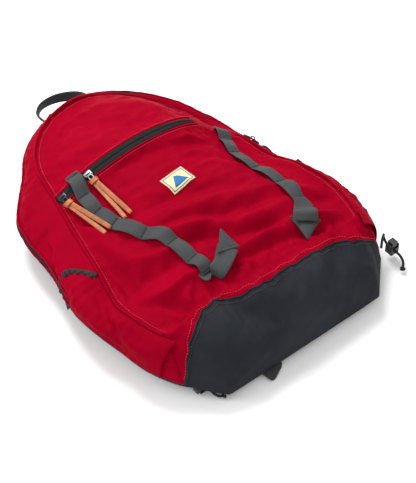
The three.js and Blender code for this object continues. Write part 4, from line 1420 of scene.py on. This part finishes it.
# ---------------------------------------------------------------- label and lining
def make_label(surface):
    x0, x1, y0, y1 = -17.3, 17.3, -12.6, 12.6
    turn, middle = math.radians(6.5), np.array([0.7, 235.3])

    def placed(point):
        """A point of the label, turned a little with the slack cloth."""
        x, y = point
        return middle + [x * math.cos(turn) - y * math.sin(turn), x * math.sin(turn) + y * math.cos(turn)]

    def patch(name, corners, lift, material, steps=10):
        """A flat woven shape between four corners, laid on the front."""
        a, b, c, d = (placed(p) for p in corners)
        grid = np.zeros((steps, steps, 3))
        for i, u in enumerate(np.linspace(0, 1, steps)):
            for j, v in enumerate(np.linspace(0, 1, steps)):
                p = a * (1 - u) * (1 - v) + b * (1 - u) * v + c * u * v + d * u * (1 - v)
                grid[i, j] = (p[0], p[1], surface.z(*p) + lift)
        made = cloth_sheet(name, grid, material, thick=0)
        face_up(made, upwards)
        thicken(made, 0.35)
        return made

    cloth = patch("label_cloth", [(x0, y0), (x1, y0), (x1, y1), (x0, y1)], 1.0, "label", 16)
    own(cloth, "fold", ["label"])
    lines = [
        [(x0 + 2, y0 + 2), (x1 - 2, y0 + 2), (x1 - 2, y0 + 3), (x0 + 2, y0 + 3)],
        [(x0 + 2, y1 - 3), (x1 - 2, y1 - 3), (x1 - 2, y1 - 2), (x0 + 2, y1 - 2)],
        [(x0 + 2, y0 + 2), (x0 + 3, y0 + 2), (x0 + 3, y1 - 2), (x0 + 2, y1 - 2)],
        [(x1 - 3, y0 + 2), (x1 - 2, y0 + 2), (x1 - 2, y1 - 2), (x1 - 3, y1 - 2)],
        [(-11, y0 + 5), (11, y0 + 5), (3.2, y1 - 9), (-1.2, y1 - 6)],
    ]
    parts = [patch(f"label_mark_{i}", corners, 1.22, "label_blue", 8) for i, corners in enumerate(lines)]
    own(join("label_marks", parts), "fold")
    rim = [(x0 + 0.9, y0 + 0.9), (x1 - 0.9, y0 + 0.9), (x1 - 0.9, y1 - 0.9), (x0 + 0.9, y1 - 0.9),
           (x0 + 0.9, y0 + 0.9)]
    dense = np.concatenate([np.linspace(a, b, 16, endpoint=False) for a, b in zip(rim[:-1], rim[1:])])
    path, normals = on_surface(surface, [placed(p) for p in dense], 1.25)
    thread = stitches("label_stitches", path, normals, "label", pitch=2.0, length=1.4, radius=0.24)
    own(thread, "fold")


def make_lining():
    y = np.linspace(FOLD_Y + 8, ZIP_Y - 2, 40)[:, None]
    x = np.linspace(-98, 98, 60)[None, :] + 0 * y
    y = y + 0 * x
    flat = np.stack([x.ravel(), y.ravel()], axis=1)
    z = (SEAM_Z + crown_at(y) * (1 - (x / front_half(y)) ** 2) - 14.6
         + ripples(flat, 5, 40, 0.5, 8).reshape(x.shape))
    lining = cloth_sheet("pocket_lining_cloth", np.stack([x, y, z], axis=2), "lining", thick=0.8)
    own(lining, "front_lid", ["pocket_lining"])


# ---------------------------------------------------------------- side pockets
POCKET_T = (0.05, 0.95)
POCKET_FOOT = 60.0
POCKET_BULGE = {"left": (13.0, 6.0), "right": (3.0, 1.0)}
MOUTH = {"left": (203.0, 226.0, 193.0), "right": (188.0, 194.0, 187.0)}
POCKET_FOLDS = {
    "left": [
        ([(196, 22), (160, 26), (120, 30), (84, 30)], 9, 4.0),
        ([(188, 50), (164, 47), (136, 36), (104, 22)], 8, -8.0),
        ([(150, 56), (132, 50), (110, 46)], 8, 5.0),
        ([(182, 36), (150, 40), (126, 44)], 6, 3.0),
        ([(120, 56), (100, 44), (78, 36)], 7, -4.0),
        ([(160, 8), (120, 10), (86, 12)], 7, -3.0),
    ],
    "right": [
        ([(180, 22), (150, 28), (110, 30)], 9, 3.0),
        ([(176, 46), (150, 42), (120, 30)], 8, -5.0),
        ([(120, 52), (96, 40), (76, 34)], 7, -3.0),
    ],
}


def make_side_pocket(side):
    sign = SIDES[side]
    rows, cols = 60, 48
    share = np.linspace(0, 1, cols)
    a, b, c = MOUTH[side]
    mouth = a * (1 - share) * (1 - 2 * share) + 4 * share * (1 - share) * b + c * share * (2 * share - 1)
    t = POCKET_T[0] + (POCKET_T[1] - POCKET_T[0]) * share
    grid = np.zeros((rows, cols, 3))
    for i, u in enumerate(np.linspace(0, 1, rows)):
        y = POCKET_FOOT + (mouth - POCKET_FOOT) * u
        section_y = np.maximum(y, CORNER[1] + 14)
        outer, inner = half_width(section_y), front_half(section_y)
        if side == "left":
            outer = outer + spread(y)
        x = (1 - t) ** 2 * outer + 2 * t * (1 - t) * (outer + 4) + t * t * inner
        middle_z = 54 - right_sag(sign * inner, section_y)
        top_z = SEAM_Z - seam_sink(sign * inner, section_y)
        z = (1 - t) ** 2 * (WALL_Z - 2) + 2 * t * (1 - t) * middle_z + t * t * top_z
        out = np.stack([np.gradient(z), -np.gradient(x)], axis=1)
        out = unit(out)
        rise = math.sqrt(u)
        full, loose = POCKET_BULGE[side]
        bulge = 1.2 + (full - loose * u) * rise * np.sin(np.pi * share) ** 1.3
        flat = np.stack([y, t * 62], axis=1)
        push = folds(flat, POCKET_FOLDS[side]) + ripples(flat, 5, 30, 1.1, 31)
        bulge = bulge + push * np.sin(np.pi * share) ** 0.5 * min(u * 5, 1)
        if u > 0.9:
            bulge = bulge + (u - 0.9) * 10 * (0.7 * np.sin(share * 74) - 1.6) * np.sin(np.pi * share) ** 0.4
        grid[i] = np.stack([sign * (x + out[:, 0] * bulge), y, z + out[:, 1] * bulge], axis=1)
    pocket = cloth_sheet("pocket_cloth_" + side, grid, "red", thick=0)
    face_up(pocket, lambda p: Vector((sign, 0, 0.2)))
    thicken(pocket, 0.9)
    own(pocket, "pack", ["side_pocket_" + side])
    hem = smooth_path(grid[-1], 90)
    across = np.tile([0, 1.0, 0], (90, 1))
    hem[:, 1] += 0.6 * np.sin(np.linspace(0, 60, 90))
    own(band("pocket_hem_" + side, hem + [sign * 0.4, 1.5, 0.3], across, 7, 2.4, "binding"), "pack",
        ["pocket_binding_" + side])


# ---------------------------------------------------------------- shock cords
CORD_R = 1.6
CORDS = {
    "upper_left": [(-128, 268, 12), (-134, 266, 9), (-140, 258, 7), (-140, 248, 6),
                   (-134, 241, 5), (-128, 243, 3)],
    "lower_left": [(-137, 48, 12), (-131, 47.5, 10.5), (-126, 45, 8.6), (-124, 40, 7.6), (-124, 31, 7.6),
                   (-124, 22, 7.6), (-124, 14, 7.2), (-121, 8, 6), (-116, 6.5, 4.5)],
    "upper_right": [(152, 262, 25), (160, 265, 22), (166, 262, 15), (168, 256, 9), (165, 248, 5),
                    (158, 243, 2.5)],
    "lower_right": [(156, 45, 26), (164, 52, 29), (171, 57, 28), (174, 60, 22), (174, 57, 16.5),
                    (174, 52, 13.2),
                    (174, 44, 12.8), (174, 36, 12.8), (174, 29, 12), (172, 22, 9), (167, 17, 5)],
}


def make_cords(side):
    for name in ("upper", "lower"):
        path = smooth_path(CORDS[f"{name}_{side}"], 40)
        cord = tube(f"{name}_shock_cord_{side}", path, CORD_R, "cord", sides=12)
        own(cord, "pack", [f"{name}_cord_{side}"])
        end = path[-1]
        u = np.linspace(0, 2 * math.pi * 1.2, 26)[:, None]
        across = unit(np.cross(path[-1] - path[-3], [0, 0, 1.0]))
        lift = np.array([0, 0, 1.6])
        knot_path = (end + across * 2.1 * np.cos(u) + lift * np.sin(u)
                     + unit(path[-1] - path[-3]) * (u / 4 - 1))
        knot = tube(f"{name}_cord_knot_{side}", knot_path, 1.3, "cord", sides=8)
        own(knot, "pack")


# ---------------------------------------------------------------- making it
make_camera()
make_materials()
for cord_side in SIDES:
    make_cords(cord_side)
make_stage()
front_fabric = make_front()
wall_pieces = make_walls()
base_fabric = make_base()
front_top = Surface(front_fabric)
foot_top = Surface(base_fabric, front_fabric)
finish_shell(front_fabric, wall_pieces, base_fabric)
make_seams(front_top, foot_top)
make_back()
make_pads()
make_belt()
make_pocket_zip(front_top)
make_main_zip()
make_pocket_sliders(front_top)
make_main_sliders()
make_label(front_top)
make_lining()
make_loops(front_top)
make_handle()
for pack_side in SIDES:
    make_strap(pack_side)
    make_daisy(pack_side, front_top)
    make_side_pocket(pack_side)
    for part in ("ladder_lock_", "cord_lock_", "cord_lock_button_"):
        bevel_cad(part + pack_side, "plastic")
for part in ("belt_buckle_socket", "belt_buckle_plug"):
    bevel_cad(part, "plastic", 1.0)
